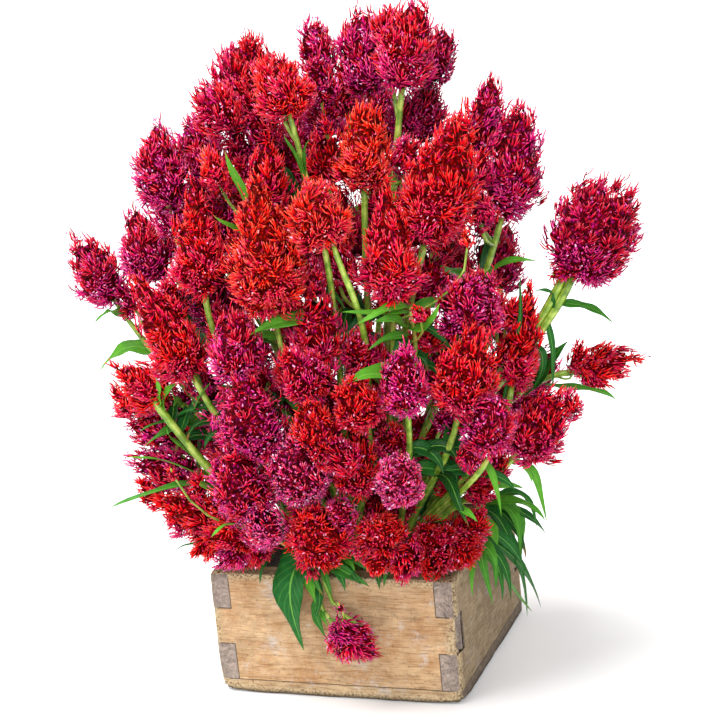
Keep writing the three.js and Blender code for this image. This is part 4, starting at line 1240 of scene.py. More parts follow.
# %% Building a stem
STEM_SIDES = 8
STEM_STEP = 14 * MM
STEM_RADIUS, STEM_TAPER = 3.7, 1.0  # in mm, at the fork, and how much less at the plume
INTO_PLUME = 12 * MM
# Stems that are really two or three, grown side by side: where the others end up.
TWINS = {
    "lone_big": [np.array([-7, -2, 3]) * MM, np.array([-3, 5, -3]) * MM],
    "hanging": [np.array([15, -3, 10]) * MM],
}
STOUTNESS = {"lone_big": 1.2, "hanging": 0.8, "left_shoot": 1.3, "right_shoot": 1.0, "orange_shoot": 1.0}
SHOOT_STOUTNESS = 0.72  # of the other shoots without a plume
SWELLING, SWELLING_STEP = 0.07, 0.009  # a part of the radius, and metres along the stem
BRANCH_RADII = (1.2 * MM, 2.2 * MM)
GIRTH_TO_BRANCH = 18  # a young plume is this many times as thick as its branch's radius
TRUNK_PLAY = 0.94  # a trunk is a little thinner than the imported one, so its ribs stay in the hole
TRUNK_FOOT = -12  # in mm from the top of the soil
# How high over the soil a trunk's next rings are, in mm, and how wide it is from its foot to its top.
TRUNK_HEIGHTS = [0, 8, 16]
TRUNK_FORM = [1.0, 1.12, 1.02, 0.98, 0.92]


def sweep(gather, line, radius, finish, tone, sides=STEM_SIDES, ribs=0.09):
    """A closed tube along a line of points, with a radius for each of them."""
    heading = unit(np.gradient(line, axis=0))
    first = unit(np.cross(heading, [0.13, 0.97, 0.21]))
    second = np.cross(heading, first)
    around = np.arange(sides) * 2 * np.pi / sides
    ribbed = np.where(np.arange(sides) % 2, 1 - ribs, 1 + ribs)
    ring = first[:, None, :] * (np.cos(around) * ribbed)[None, :, None]
    ring = ring + second[:, None, :] * (np.sin(around) * ribbed)[None, :, None]
    points = (line[:, None, :] + ring * np.asarray(radius)[:, None, None]).reshape(-1, 3)
    points = np.concatenate([points, line[:1], line[-1:]])
    steps = len(line)
    along = np.repeat(np.linspace(0, 1, steps), sides)
    rib = np.tile(np.arange(sides) % 2, steps)
    paint = np.stack([along, np.full(steps * sides, tone), rib], axis=1)
    paint = np.concatenate([paint, [[0, tone, 0], [1, tone, 0]]])
    faces = []
    for side in range(sides):
        nxt = (side + 1) % sides
        for ring_index in range(steps - 1):
            a, b = ring_index * sides, (ring_index + 1) * sides
            faces.append([a + side, a + nxt, b + nxt])
            faces.append([a + side, b + nxt, b + side])
        faces.append([nxt, side, steps * sides])
        end = (steps - 1) * sides
        faces.append([end + side, end + nxt, steps * sides + 1])
    gather.add(points, faces, paint, finish)


def add_stem(gather, stem, dice):
    length = np.linalg.norm(np.diff(even_points(stem.knots, 30), axis=0), axis=1).sum()
    line = even_points(stem.knots, max(6, round(length / STEM_STEP)))
    if stem.name in bunches:
        line = np.concatenate([line, [stem.end + stem.axis * INTO_PLUME]])
    part = np.linspace(0, 1, len(line))
    radius = (STEM_RADIUS - STEM_TAPER * part) * MM * dice.uniform(0.9, 1.08)
    radius = radius * (1 + SWELLING * np.sin(part * length / SWELLING_STEP + dice.uniform(0, 6)))
    radius *= STOUTNESS.get(stem.name, 1.0 if stem.name in bunches else SHOOT_STOUTNESS)
    if stem.name not in bunches:
        radius[-1] *= 0.5
    for shift in (np.zeros(3), *TWINS.get(stem.name, [])):
        sweep(gather, line + part[:, None] * shift, radius, stem_green, dice.uniform(0, 1))


def add_branch(gather, plume, dice):
    """The thin branch that carries a young plume."""
    handle = plume.neck - 0.4 * np.linalg.norm(plume.neck - plume.joint) * plume.axis
    line = even_points([plume.joint, (plume.joint + handle) / 2, handle, plume.neck], 6)
    line = np.concatenate([line, [plume.neck + plume.axis * INTO_PLUME]])
    radius = np.linspace(1, 0.8, 7) * np.clip(plume.girth / GIRTH_TO_BRANCH, *BRANCH_RADII)
    sweep(gather, line, radius, stem_green, dice.uniform(0, 1), sides=6)


def add_trunk(gather, plant, dice):
    x, y = np.array(PLANTS[plant]) * MM
    top = TRUNK_TOP / MM - SOIL_TOP / MM
    heights = np.array([TRUNK_FOOT, *TRUNK_HEIGHTS, top]) * MM + SOIL_TOP
    line = np.stack([np.full(5, x), np.full(5, y), heights], axis=1)
    radius = np.array(TRUNK_FORM) * TRUNK_RADIUS * TRUNK_PLAY
    sweep(gather, line, radius, stem_green, dice.uniform(0, 1), sides=14, ribs=0.05)


# %% [markdown]
# ## Leaves
#
# A celosia leaf is lance-shaped and thin. Each one here is a grid of points bent along a curved
# midrib: it folds up a little on both sides of the rib, its edges wave, and a copy of the grid half
# a millimetre lower closes it into a real solid. The leaves that stand out are listed one by one.
# The rest follow a rule up each stem, and their tips are looked up in the imported plants, so each one
# grows exactly where the imported model has it.

# %% Table of leaves
# The stem that each springs from, how far up it, the point that pulls its rib into an arc, its tip,
# its width, and its tone from 0, deep green, to 1, bright. Low tones on leaves deep in the dome are
# painted shade as well as a deeper green.
FREE_LEAVES = [
    ("hanging", 0.42, (-34, -150, 150), (-30, -124, 52), 38, 0.12),
    ("hanging", 0.5, (-12, -140, 132), (-9, -126, 98), 14, 0.80),
    ("hanging", 0.55, (28, -142, 150), (46, -132, 120), 13, 0.25),
    ("hanging", 0.45, (40, -140, 165), (55, -138, 138), 12, 0.20),
    ("hanging", 0.8, (-12, -135, 92), (-2, -128, 68), 9, 0.25),
    ("top_orange", 0.75, (15, -146, 389), (-21, -176, 365), 21, 0.75),
    ("fan_shoot", 0.7, (100, -165, 338), (65, -182, 325), 25, 0.80),
    ("fan_shoot", 1, (94, -150, 390), (69, -160, 371), 9, 0.95),
    ("fan_shoot", 0.98, (86, -148, 383), (56, -158, 380), 7, 0.85),
    ("fan_shoot", 0.92, (103, -148, 376), (82, -152, 374), 10, 0.75),
    ("fan_shoot", 0.93, (120, -132, 356), (137, -132, 382), 11, 0.90),
    ("fan_shoot", 0.9, (95, -140, 358), (73, -150, 348), 8, 0.60),
    ("low_left_red", 0.9, (-98, -148, 300), (-76, -154, 316), 9, 0.50),
    ("left_pink", 0.75, (-120, -165, 241), (-179, -178, 204), 13, 0.45),
    ("right_magenta", 0.8, (165, -38, 408), (200, -30, 398), 9, 0.75),
    ("lone_big", 0.95, (240, -20, 354), (262, -22, 338), 9, 0.35),
    ("far_left", 0.97, (-186, -112, 384), (-202, -118, 366), 12, 0.50),
    ("far_right", 0.9, (235, -15, 275), (262, -30, 268), 9, 0.50),
    ("right_shoot", 0.62, (142, -148, 202), (160, -150, 194), 9, 0.75),
    ("dusk_crimson", 0.95, (188, -18, 208), (190, -34, 150), 9, 0.80),
    ("right_rose", 0.9, (170, -98, 228), (163, -96, 178), 7, 0.90),
    ("side_shoot", 1, (152, 62, 142), (142, 40, 78), 13, 0.55),
    ("side_shoot", 0.9, (144, 52, 140), (134, 72, 65), 13, 0.00),
    ("side_shoot", 0.95, (144, 15, 134), (142, 45, 22), 14, 0.15),
    ("side_shoot", 1, (152, 58, 166), (162, 45, 116), 9, 0.20),
    ("rim_shoot", 1, (144, -20, 152), (140, -48, 108), 14, 0.85),
    ("rim_shoot", 0.95, (148, -20, 130), (160, 40, 36), 13, 0.10),
    ("rim_shoot", 0.9, (146, -58, 124), (150, 38, 34), 12, 0.60),
    ("rim_shoot", 1, (142, -68, 138), (136, -56, 76), 10, 0.50),
]
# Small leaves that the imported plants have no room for, listed in the same way.
SMALL_LEAVES = [
    ("far_right", 0.05, (55, 36, 146), (60, 56, 170), 24, 0.05),
    ("right_under", 0.05, (48, 24, 148), (55, 44, 172), 22, 0.20),
    ("side_shoot", 0.85, (150, 42, 150), (150, 20, 96), 12, 0.55),
    ("side_shoot", 0.75, (142, 20, 150), (146, -2, 92), 14, 0.05),
    ("side_shoot", 0.9, (158, 40, 158), (170, 30, 128), 10, 0.70),
    ("side_shoot", 0.8, (154, 60, 140), (160, 70, 98), 11, 0.05),
    ("rim_shoot", 0.85, (146, -38, 140), (146, -56, 92), 12, 0.45),
    ("rim_shoot", 0.9, (150, -8, 142), (152, 4, 84), 13, 0.10),
    ("rim_shoot", 0.95, (134, -76, 140), (130, -84, 96), 9, 0.80),
    ("rim_shoot", 0.75, (138, -30, 138), (142, -28, 70), 12, 0.20),
    ("hanging", 0.30, (-6, -148, 160), (10, -150, 118), 15, 0.30),
    ("hanging", 0.9, (-2, -134, 98), (6, -140, 84), 6, 0.60),
    ("fan_shoot", 0.88, (100, -132, 354), (92, -136, 340), 15, 0.05),
    ("fan_shoot", 0.93, (128, -112, 361), (136, -112, 335), 8, 0.10),
    ("upper_red", 0.97, (-35, -136, 480), (-41, -136, 522), 13, 0.95),
    ("upper_red", 0.93, (-42, -150, 453), (-52, -152, 471), 6, 1.00),
    ("low_left_red", 0.9, (-132, -150, 283), (-150, -155, 273), 6, 0.20),
    ("low_left_red", 0.97, (-118, -140, 297), (-119, -145, 311), 9, 0.85),
    ("left_pink", 0.7, (-143, -150, 254), (-163, -160, 254), 5, 0.90),
    ("left_pink", 0.8, (-127, -140, 261), (-132, -145, 274), 6, 0.80),
    ("left_scarlet", 0.55, (-99, -140, 290), (-113, -140, 261), 13, 0.00),
    ("left_scarlet", 0.5, (-91, -138, 284), (-98, -138, 253), 12, 0.05),
    ("left_scarlet", 0.62, (-105, -138, 300), (-120, -138, 280), 10, 0.10),
    ("left_scarlet", 0.6, (-87, -138, 303), (-85, -138, 270), 12, 0.00),
    ("rim_left", 0.8, (-62, -195, 213), (-74, -195, 191), 10, 0.80),
    ("left_pink", 0.7, (-102, -165, 230), (-92, -168, 225), 7, 1.00),
    ("rim_left", 0.7, (-116, -150, 166), (-133, -150, 156), 4, 0.10),
    ("rim_shoot", 0.85, (154, -100, 163), (155, -100, 127), 15, 0.50),
    ("dusk_crimson", 0.97, (186, -50, 215), (182, -50, 195), 7, 0.85),
    ("lone_big", 0.9, (212, -30, 360), (210, -30, 368), 5, 0.10),
    ("lone_big", 0.8, (208, -28, 316), (182, -28, 275), 9, 0.10),
    ("lone_big", 0.9, (204, -26, 313), (206, -26, 278), 6, 0.15),
    ("far_right", 0.8, (202, -5, 296), (213, -5, 317), 12, 0.20),
    ("lone_big", 0.97, (205, -30, 371), (193, -32, 370), 4, 0.10),
    ("dusk_red", 0.9, (191, -60, 375), (195, -60, 388), 4, 0.10),
    ("left_open", 0.85, (7, -104, 518), (1, -106, 530), 4, 0.60),
    ("left_open", 0.88, (15, -104, 515), (22, -106, 525), 4, 0.40),
    ("left_open", 0.7, (-13, -80, 512), (-17, -85, 490), 12, 0.00),
    ("left_open", 0.65, (2, -80, 503), (11, -85, 481), 12, 0.00),
    ("centre_scarlet", 0.75, (108, -110, 345), (116, -112, 317), 14, 0.00),
    ("centre_scarlet", 0.7, (115, -100, 333), (122, -104, 312), 13, 0.05),
    ("top_orange", 0.72, (62, -100, 361), (49, -100, 338), 14, 0.00),
    ("top_orange", 0.7, (78, -100, 352), (71, -100, 329), 13, 0.00),
    ("mid_magenta", 0.8, (113, -115, 256), (120, -115, 223), 14, 0.05),
    ("mid_magenta", 0.75, (127, -110, 263), (137, -110, 227), 13, 0.00),
    ("right_fire", 0.8, (140, -90, 248), (149, -90, 216), 13, 0.05),
    ("left_scarlet", 0.66, (-141, -60, 373), (-133, -62, 352), 15, 0.00),
    ("left_scarlet", 0.45, (-128, -110, 271), (-139, -112, 237), 15, 0.00),
    ("top_orange", 0.66, (34, -70, 376), (25, -72, 357), 15, 0.00),
    ("top_orange", 0.62, (46, -70, 372), (40, -72, 345), 15, 0.00),
    ("top_orange", 0.68, (57, -70, 372), (63, -72, 350), 14, 0.05),
    ("high_orange", 0.6, (27, -60, 398), (31, -62, 371), 13, 0.00),
    ("mid_magenta", 0.6, (110, -85, 232), (115, -88, 200), 14, 0.00),
    ("right_fire", 0.6, (120, -80, 235), (124, -84, 204), 14, 0.05),
    ("right_fire", 0.65, (165, -70, 221), (170, -74, 194), 13, 0.10),
    ("far_left", 0.6, (-165, -75, 377), (-174, -78, 357), 11, 0.10),
    ("side_shoot", 0.9, (139, 45, 139), (151, 20, 92), 12, 0.00),
    ("rim_shoot", 0.9, (152, -60, 143), (153, -40, 76), 13, 0.05),
    ("hanging", 0.36, (18, -136, 142), (24, -134, 117), 12, 0.15),
    ("hanging", 0.33, (32, -138, 149), (42, -136, 125), 11, 0.05),
    ("hanging", 0.4, (11, -140, 144), (11, -138, 114), 10, 0.35),
    ("hanging", 0.62, (5, -142, 111), (-5, -140, 89), 8, 0.10),
    ("hanging", 0.35, (28, -142, 154), (40, -142, 140), 9, 0.50),
    ("rim_left", 0.75, (-57, -128, 142), (-63, -128, 120), 10, 0.10),
    ("rim_left", 0.8, (-65, -130, 147), (-76, -130, 129), 8, 0.30),
    ("front_star", 0.6, (-20, -125, 142), (-28, -122, 118), 11, 0.05),
    ("front_red", 0.6, (50, -125, 145), (52, -122, 115), 11, 0.05),
    ("front_red", 0.7, (70, -128, 147), (59, -126, 119), 9, 0.20),
    ("left_scarlet", 0.58, (-45, -80, 296), (-52, -82, 273), 15, 0.00),
    ("left_scarlet", 0.54, (-36, -80, 301), (-38, -82, 275), 14, 0.00),
    ("left_shoot", 0.85, (-126, -120, 306), (-138, -122, 278), 14, 0.00),
    ("left_shoot", 0.8, (-110, -118, 303), (-114, -122, 272), 14, 0.04),
    ("left_shoot", 0.7, (-119, -100, 250), (-123, -102, 216), 14, 0.00),
    ("left_shoot", 0.9, (-128, -146, 316), (-106, -150, 318), 8, 0.90),
    ("left_shoot", 0.93, (-126, -150, 306), (-130, -152, 327), 9, 0.95),
    ("right_magenta", 0.85, (150, 10, 422), (154, 8, 404), 12, 0.00),
]
LEAF_PARTS = [0.62, 0.82]  # how far up its stem a leaf of the rule springs
RULE_REACH = (44 * MM, 81 * MM)  # how far out a leaf of the rule may end
RULE_DROP = (-33 * MM, 16 * MM)  # and how far below or above its root
RULE_PLANE = 0.4 * MM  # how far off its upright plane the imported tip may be
RULE_LIFT = 14 * MM  # how far over its root such a leaf rises before it hangs
RULE_WIDTHS = (11, 16)  # in mm

# %% Building the leaves
BLADE_STEPS, BLADE_HALF = 13, 3  # steps along the blade, and on each side of its midrib
BLADE_THICKNESS = 0.5 * MM
FOLD, WAVE = 0.26, 0.28  # how far its edges fold up and wave, in half widths
SWAY = 0.045  # how far it sways aside, as a part of its length
TO_THE_LIGHT = np.array([-0.15, -0.75, 0.35])  # leaves turn their faces to the front and up


def blade_width(part):
    return np.sin(np.pi * (0.025 + 0.975 * part) ** 0.64) ** 0.9


def add_leaf(gather, root, bend, tip, width, tone, dice):
    part = np.linspace(0, 1, BLADE_STEPS + 1)[:, None]
    rib = (1 - part) ** 2 * root + 2 * part * (1 - part) * bend + part**2 * tip
    heading = unit((1 - part) * (bend - root) + part * (tip - bend))
    face = unit(np.array([*(0.7 * unit(root[:2])), 0.8]) + TO_THE_LIGHT)
    side = unit(np.cross(heading, face))
    over = np.cross(side, heading)
    across = np.arange(-BLADE_HALF, BLADE_HALF + 1) / BLADE_HALF
    half = width / 2 * blade_width(part)
    fold = FOLD * np.abs(across) ** 1.3
    length = np.linalg.norm(tip - root)
    waves = np.sin(part * dice.uniform(9, 15) + dice.uniform(0, 6)) * across**2 * WAVE * np.sign(across)
    lift = half * (fold + waves)
    sway = SWAY * length * np.sin(part * math.pi * 1.7 + dice.uniform(0, 6)) * part
    upper = rib[:, None, :] + side[:, None, :] * (half * across + sway)[..., None]
    upper = upper + over[:, None, :] * lift[..., None]
    taper = (0.35 + 0.65 * blade_width(part))[..., None]
    lower = upper - over[:, None, :] * BLADE_THICKNESS * taper
    columns = len(across)
    count = (BLADE_STEPS + 1) * columns
    points = np.concatenate([upper.reshape(-1, 3), lower.reshape(-1, 3)])
    spread_part = np.broadcast_to(np.abs(across), (BLADE_STEPS + 1, columns)).ravel()
    along = np.repeat(part.ravel(), columns)
    paint = np.stack([along, np.full(count, tone), spread_part], axis=1)
    top, below, rim = [], [], []
    for i in range(BLADE_STEPS):
        for k in range(columns - 1):
            a = i * columns + k
            top.append([a, a + 1, a + columns + 1, a + columns])
            below.append([count + a, count + a + columns, count + a + columns + 1, count + a + 1])
        for a, b in ((i * columns, (i + 1) * columns), ((i + 2) * columns - 1, (i + 1) * columns - 1)):
            rim.append([a, b, count + b, count + a])
    for k in range(columns - 1):
        a, b = k, BLADE_STEPS * columns + k
        rim.append([a + 1, a, count + a, count + a + 1])
        rim.append([b, b + 1, count + b + 1, count + b])
    first_point = gather.count
    gather.add(points, top, np.tile(paint, (2, 1)), leaf_top)
    gather.add_faces(first_point, below, leaf_back)
    gather.add_faces(first_point, rim, leaf_top)


def packed_tip(stem, root, out):
    """The outermost packed point in the upright plane through the root, or None."""
    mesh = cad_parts[f"plant_{stem.plant}"].data
    points = np.array([vertex.co for vertex in mesh.vertices]) - root
    far = points[:, :2] @ out[:2]
    aside = np.abs(points[:, 0] * out[1] - points[:, 1] * out[0])
    fits = (aside < RULE_PLANE) & (far > RULE_REACH[0]) & (far < RULE_REACH[1])
    fits &= (points[:, 2] > RULE_DROP[0]) & (points[:, 2] < RULE_DROP[1])
    return root + points[fits][far[fits].argmax()] if fits.any() else None


leaf_dice = np.random.default_rng(7)
leaves = []
for name, part, bend, tip, width, tone in FREE_LEAVES + SMALL_LEAVES:
    root = stem_point(stems[name], part)
    leaves.append((stems[name], root, np.array(bend) * MM, np.array(tip) * MM, width * MM, tone))
for index, stem in enumerate(stems.values()):
    if stem.name in OWN_BENDS:
        continue
    for k, part in enumerate(LEAF_PARTS):
        angle = (index * len(LEAF_PARTS) + k) * GOLDEN_TURN
        out = np.array([math.cos(angle), math.sin(angle), 0])
        root = stem_point(stem, part)
        tip = packed_tip(stem, root, out)
        if tip is None:
            continue
        bend = root + (tip - root) * [0.5, 0.5, 0] + [0, 0, RULE_LIFT]
        width, tone = leaf_dice.uniform(*RULE_WIDTHS) * MM, leaf_dice.uniform(0, 1)
        leaves.append((stem, root, bend, tip, width, tone))
print(len(leaves), "leaves,", len(FREE_LEAVES) + len(SMALL_LEAVES), "of them from the tables")

# %% The plants
plant_pieces = {}
for plant in PLANTS:
    gather = Gatherer()
    dice = np.random.default_rng(list(PLANTS).index(plant))
    add_trunk(gather, plant, dice)
    for stem in stems.values():
        if stem.plant == plant:
            add_stem(gather, stem, dice)
    for plume in young_plumes:
        if stems[plume.bunch].plant == plant:
            add_branch(gather, plume, dice)
    for stem, root, bend, tip, width, tone in leaves:
        if stem.plant == plant:
            add_leaf(gather, root, bend, tip, width, tone, dice)
    plant_pieces[plant] = gather.make_object(f"{plant}_stems_and_leaves")
print("triangles on the plants:", sum(map(triangles_of, plant_pieces.values())))

# %% [markdown]
# ## Old wood
#
# The boards are bare softwood that has stood outside for years. The grain runs along each board: a
# fine noise stretched ten times along it gives the fibres, and a coarser one stretched three times
# the bands. Where a board is cut across, its end grain soaks up dirt and goes grey, so the finish
# asks which way the surface faces. Three even noises add stains, bleached patches and pits. The
# `paint` attribute says where an edge is worn to straw and where dirt sits in a seam, and the lowest
# few millimetres are darkened with painted shade, where the box meets the floor.

# %% Finish of the old wood


def stretched_noise(tree, place, grain_axis, scale, stretch, **inputs):
    factors = [scale, scale, scale]
    factors[grain_axis] = scale * stretch
    space = step(tree, "Mapping", {"Vector": place, "Scale": factors}).outputs[0]
    return even_noise(tree, space, 1.0, **inputs)


def wood_finish(name, grain_axis, pale, warm, dark, end_grain):
    material, tree, shader = new_finish(name, 0.85)
    place = step(tree, "TexCoord").outputs["Object"]
    worn, seam, _ = paint_of(tree)
    fibre = stretched_noise(tree, place, grain_axis, 640, 0.10, Detail=6.0, Distortion=0.4)
    bands = stretched_noise(tree, place, grain_axis, 95, 0.32, Detail=7.0, Roughness=0.72, Distortion=0.8)
    blotch = even_noise(tree, place, 21.0, Detail=7.0, Roughness=0.72)
    cloud = even_noise(tree, place, 48.0, Detail=7.0, Roughness=0.75)
    speck = even_noise(tree, place, 430.0, Detail=3.0)
    colour = ramp(tree, bands, (0.30, warm), (0.47, pale), (0.66, tuple(1.25 * c for c in pale)))
    colour = blend(tree, ramp(tree, blotch, (0.38, grey(0.75)), (0.52, grey(0))), colour, warm)
    bleached = tuple(1.1 * sum(pale) / 3 + 0.35 * c for c in pale)
    colour = blend(tree, ramp(tree, cloud, (0.54, grey(0)), (0.66, grey(0.7))), colour, bleached)
    colour = blend(tree, ramp(tree, cloud, (0.36, grey(0.3)), (0.46, grey(0))), colour, dark)
    fibres = ramp(tree, fibre, (0.34, (0.55, 0.48, 0.42)), (0.54, grey(1)))
    colour = blend(tree, 0.7, colour, fibres, "MULTIPLY")
    stain = ramp(tree, blotch, (0.57, grey(0)), (0.72, grey(0.55)))
    colour = blend(tree, stain, colour, dark)
    straw = ramp(tree, speck, (0.34, dark), (0.43, (0.34, 0.24, 0.13)), (0.58, (0.56, 0.43, 0.26)))
    colour = blend(tree, ramp(tree, worn, (0.2, grey(0)), (0.75, grey(0.85))), colour, straw)
    pits = ramp(tree, speck, (0.31, (0.35, 0.30, 0.27)), (0.37, grey(1)))
    colour = blend(tree, 0.6, colour, pits, "MULTIPLY")

    normal = step(tree, "SeparateXYZ", [step(tree, "NewGeometry").outputs["Normal"]]).outputs[grain_axis]
    cut = ramp(tree, math_step(tree, "ABSOLUTE", normal), (0.70, grey(0)), (0.86, grey(1)))
    rings = even_noise(tree, place, 150.0, Detail=8.0, Roughness=0.7, Distortion=1.2)
    dim, light = tuple(0.5 * c for c in end_grain), tuple(1.5 * c for c in end_grain)
    end_colour = ramp(tree, rings, (0.34, dim), (0.5, end_grain), (0.66, light))
    colour = blend(tree, cut, colour, blend(tree, 0.6, end_colour, pits, "MULTIPLY"))
    colour = blend(tree, ramp(tree, seam, (0.1, grey(0)), (0.8, grey(0.95))), colour, SEAM_DIRT)
    # The lowest few millimetres darken toward the floor: painted shade where the box stands.
    height = step(tree, "SeparateXYZ", [place]).outputs[2]
    height_part = math_step(tree, "DIVIDE", height, SHADED_FOOT)
    foot_shade = ramp(tree, height_part, (0.2, (0.13, 0.12, 0.11)), (1.0, grey(1)))
    tree.links.new(blend(tree, 1.0, colour, foot_shade, "MULTIPLY"), shader.inputs["Base Color"])
    relief = math_step(tree, "ADD", math_step(tree, "MULTIPLY", fibre, 0.6), speck)
    relief = math_step(tree, "MULTIPLY", relief, math_step(tree, "ADD", worn, 0.3))
    add_bump(tree, shader, relief, 1.0, 0.0028)
    shader.inputs["Specular IOR Level"].default_value = 0.2
    return material


SEAM_DIRT = (0.05, 0.035, 0.025)
SHADED_FOOT = 6 * MM
HONEY, ORANGE_BROWN = (0.47, 0.315, 0.175), (0.38, 0.20, 0.085)
DARK_STAIN, GREY_END = (0.14, 0.095, 0.065), (0.27, 0.215, 0.18)
GREY_BROWN, UMBER = (0.29, 0.215, 0.13), (0.21, 0.14, 0.08)
STRAW_BROWN, FOX_BROWN, DARK_END = (0.46, 0.33, 0.19), (0.36, 0.23, 0.12), (0.15, 0.11, 0.08)
long_wood = wood_finish("old wood, grain along the front", 0, HONEY, ORANGE_BROWN, DARK_STAIN, GREY_END)
side_wood = wood_finish("old wood, grain along the side", 1, GREY_BROWN, UMBER, DARK_STAIN, GREY_END)
base_wood = wood_finish("old wood of the bottom", 0, STRAW_BROWN, FOX_BROWN, DARK_STAIN, DARK_END)

# %% [markdown]
# ## Worn boards
#
# A new board has sharp edges, but the outer edges of an old box are rounded, chipped and pitted,
# while the joints between its boards stay crisp. So each packed board is cut into a grid of small
# faces, fine near the outside of the box, and every point within reach of an outer edge is drawn
# back onto a round. How large that round is changes from place to place: it is larger at the foot
# of the box, largest at the corners where the box has been knocked, and noise makes it ragged. Two
# more cuts run beside every edge of a board, so that a thin dark seam can follow it.

# %% Worn boards
BOARD_FINISH = {
    "front_board": long_wood,
    "back_board": long_wood,
    "left_board": side_wood,
    "right_board": side_wood,
    "bottom_board": base_wood,
}
FINE_CUTS = [1, 2.2, 3.6, 5.2, 7, 9, 11.5, 14.5]  # mm in from the outside of the box
COARSE_CUT = 10  # mm from one cut to the next, further in
SEAM_WIDTH = 1.0 * MM
LEAST_STRIP = 0.4 * MM  # no cut runs nearer to the end of a board than this
EDGE_RADIUS, FOOT_EXTRA = 2.0, 1.6  # the round of an edge in mm, and how much more it is at the foot
FOOT_HEIGHT = 26 * MM
RAGGED = 0.55  # how much noise changes the round
SEAM_ANGLE, SHARP_ANGLE = math.radians(60), math.radians(42)
# Knocks: the middle of each, how far it spreads, and how much larger it makes the round.
KNOCKS = [
    ((120, -112, 60), (14, 14, 24), 7),
    ((120, -112, 108), (10, 14, 12), 3),
    ((120, 112, 122), (30, 34, 30), 17),
    ((-120, -112, 0), (15, 15, 15), 9),
    ((120, -112, 0), (15, 15, 15), 10),
    ((-120, -112, 122), (14, 14, 16), 4),
    ((-120, 112, 0), (20, 20, 18), 7),
    ((-120, 112, 122), (18, 18, 16), 6),
]
box_middle = (box_low + box_high) / 2
box_half = (box_high - box_low) / 2


def cut_places(axis):
    half = box_half[axis] / MM
    gaps = FINE_CUTS + list(np.arange(FINE_CUTS[-1] + COARSE_CUT / 2, half, COARSE_CUT))
    return [box_middle[axis] + side * (half - gap) * MM for gap in gaps for side in (-1, 1)]


def rounding(point):
    """The radius in metres that wear gives the box's outer edges near a point."""
    radius = EDGE_RADIUS + FOOT_EXTRA * max(0, 1 - point.z / FOOT_HEIGHT)
    for place, spread_by, extra in KNOCKS:
        gap = sum(((c / MM - p) / w) ** 2 for c, p, w in zip(point, place, spread_by))
        radius += extra * math.exp(-gap)
    broad = noise.noise(point * 45) + 0.6 * noise.noise(point * 170)
    return radius * (1 + RAGGED * broad) * MM


def wear(point):
    """The worn place of a point, and how near it is to an outer edge, from 0 to 1."""
    radius = max(rounding(point), 0.5 * MM)
    gaps = [h - abs(c - m) for c, m, h in zip(point, box_middle, box_half)]
    short = Vector([max(radius - gap, 0) for gap in gaps])
    scale = min(1, radius / short.length) if short.length else 1
    moved = point.copy()
    for axis in range(3):
        side = math.copysign(1, point[axis] - box_middle[axis])
        moved[axis] -= side * short[axis] * (1 - scale)
    nearest = sorted(gaps)
    edge = max(0.0, 1 - (nearest[0] + nearest[1]) / (2.6 * radius + 5 * MM))
    return moved, edge


def sink_tongue_end(node, point):
    """The ends of the front's and back's tongues have broken back a little and left dark hollows."""
    inside_corner = box_half.x - abs(point.x - box_middle.x) < 0.5 * MM
    if node not in ("front_board", "back_board") or not inside_corner:
        return Vector()
    ragged = 0.5 + noise.noise(point * 210) + 0.5 * noise.noise(point * 600)
    return Vector((-math.copysign(4.2 * MM * max(0.1, ragged), point.x), 0, 0))


def seam_places(bm, axis):
    """Cuts on both sides of each edge, so that a dark line can follow the joints."""
    edges = {round(vertex.co[axis], 4) for vertex in bm.verts}
    return [edge + side * SEAM_WIDTH for edge in edges for side in (-1, 1)]


def make_board(node):
    bm = bmesh.new()
    bm.from_mesh(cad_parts[node].data)
    bmesh.ops.remove_doubles(bm, verts=bm.verts, dist=0.01 * MM)
    low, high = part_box(node)
    places = [cut_places(axis) + seam_places(bm, axis) for axis in range(3)]
    for axis in range(3):
        normal = Vector([axis == k for k in range(3)])
        for place in places[axis]:
            if low[axis] + LEAST_STRIP < place < high[axis] - LEAST_STRIP:
                geometry = bm.verts[:] + bm.edges[:] + bm.faces[:]
                bmesh.ops.bisect_plane(bm, geom=geometry, plane_co=normal * place, plane_no=normal)
    bm.verts.index_update()
    seams = set()
    for edge in bm.edges:
        if len(edge.link_faces) == 2 and edge.calc_face_angle() > SEAM_ANGLE:
            seams.update(vertex.index for vertex in edge.verts)
    mesh = bpy.data.meshes.new(f"worn_{node}")
    bm.to_mesh(mesh)
    bm.free()
    paint = mesh.attributes.new("paint", "FLOAT_VECTOR", "POINT")
    for index, (vertex, value) in enumerate(zip(mesh.vertices, paint.data)):
        sink = sink_tongue_end(node, vertex.co)
        moved, edge = wear(vertex.co.copy())
        vertex.co = moved + sink
        value.vector = (edge, index in seams and edge < 0.5, 0)
    mesh.materials.append(BOARD_FINISH[node])
    mesh.shade_smooth()
    mesh.set_sharp_from_angle(angle=SHARP_ANGLE)
    board = bpy.data.objects.new(mesh.name, mesh)
    bpy.context.scene.collection.objects.link(board)
    return board


boards = {node: make_board(node) for node in BOARD_FINISH}
print("triangles on the boards:", sum(map(triangles_of, boards.values())))

# %% [markdown]
# ## Soil
#
# Potting soil is a bed of crumbs. Its top is a grid lifted by noise at three scales, heaped up a
# little round each trunk, and its sides go straight down inside the boards.

# %% Soil
SOIL_STEP = 5 * MM
LUMPS = [(30, 3), (90, 2), (260, 1.2)]  # for each size of lump: how fine it is, and its height in mm
HEAP_HEIGHT = 3  # in mm
HEAP_WIDTH = 0.018  # in metres
SURFACE_BELOW = 4 * MM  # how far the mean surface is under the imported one
WET_SOIL, DAMP_SOIL, DRY_SOIL = (0.012, 0.008, 0.005), (0.05, 0.032, 0.02), (0.13, 0.09, 0.06)


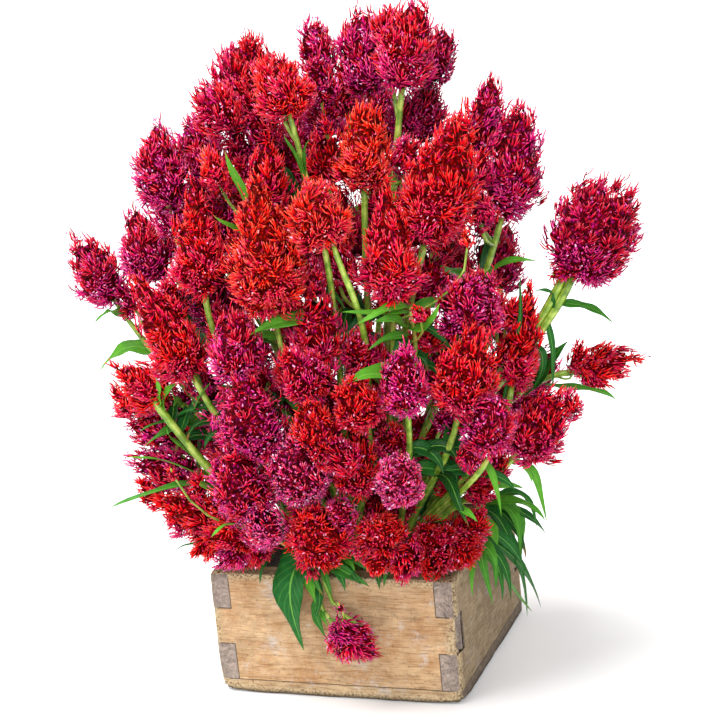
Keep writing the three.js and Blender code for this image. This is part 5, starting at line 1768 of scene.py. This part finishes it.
def soil_finish():
    material, tree, shader = new_finish("potting soil", 0.95)
    place = step(tree, "TexCoord").outputs["Object"]
    crumbs = step(tree, "TexVoronoi", {"Vector": place, "Scale": 330.0}).outputs["Distance"]
    grain = even_noise(tree, place, 900.0, Detail=3.0)
    colour = ramp(tree, grain, (0.3, WET_SOIL), (0.6, DAMP_SOIL), (0.78, DRY_SOIL))
    tree.links.new(colour, shader.inputs["Base Color"])
    add_bump(tree, shader, math_step(tree, "ADD", crumbs, grain), 0.9, 0.003)
    return material


def soil_height(x, y, top):
    lumps = sum(noise.noise(Vector((x, y, 0)) * scale) * size for scale, size in LUMPS)
    gap = min(math.hypot(x - px * MM, y - py * MM) for px, py in PLANTS.values())
    heap = HEAP_HEIGHT * math.exp(-((gap / HEAP_WIDTH) ** 2))
    return min(top - SURFACE_BELOW + (lumps + heap) * MM, top - 0.1 * MM)


def make_soil():
    low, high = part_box("soil")
    inset = 1 * MM
    xs = np.linspace(low.x + inset, high.x - inset, round((high.x - low.x) / SOIL_STEP))
    ys = np.linspace(low.y + inset, high.y - inset, round((high.y - low.y) / SOIL_STEP))
    points = [(x, y, soil_height(x, y, high.z)) for y in ys for x in xs]
    faces = []
    columns, rows = len(xs), len(ys)
    count = columns * rows
    for j in range(rows - 1):
        for i in range(columns - 1):
            a = j * columns + i
            faces.append((a, a + 1, a + columns + 1, a + columns))
    outline = [*range(columns)] + [j * columns + columns - 1 for j in range(1, rows)]
    outline += [(rows - 1) * columns + i for i in range(columns - 2, -1, -1)]
    outline += [j * columns for j in range(rows - 2, 0, -1)]
    floor_of = {a: count + i for i, a in enumerate(sorted(outline))}
    points += [(points[a][0], points[a][1], low.z + inset) for a in sorted(outline)]
    for a, b in zip(outline, outline[1:] + outline[:1]):
        faces.append((b, a, floor_of[a], floor_of[b]))
    faces.append(tuple(floor_of[a] for a in reversed(outline)))
    mesh = bpy.data.meshes.new("potting_soil")
    mesh.from_pydata(points, [], faces)
    mesh.materials.append(soil_finish())
    mesh.shade_smooth()
    soil = bpy.data.objects.new("potting_soil", mesh)
    bpy.context.scene.collection.objects.link(soil)
    return soil


soil = make_soil()
print("triangles in the soil:", triangles_of(soil))

# %% [markdown]
# ## Handing over
#
# Each piece rides on the one body there is, and stands for its imported node, which is hidden.

# %% Handing over


def hand_over(piece, node):
    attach(piece, "root")
    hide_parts(node)


for bunch, piece in plume_pieces.items():
    hand_over(piece, f"plume_{bunch}")
for plant, piece in plant_pieces.items():
    hand_over(piece, f"plant_{plant}")
for node, piece in boards.items():
    hand_over(piece, node)
hand_over(soil, "soil")

# %% Size of the result
low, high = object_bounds()
grown = [*(cad_low - low), *(high - cad_high)]
print("grown beyond the packed model, in mm:", [round(length / MM, 2) for length in grown])
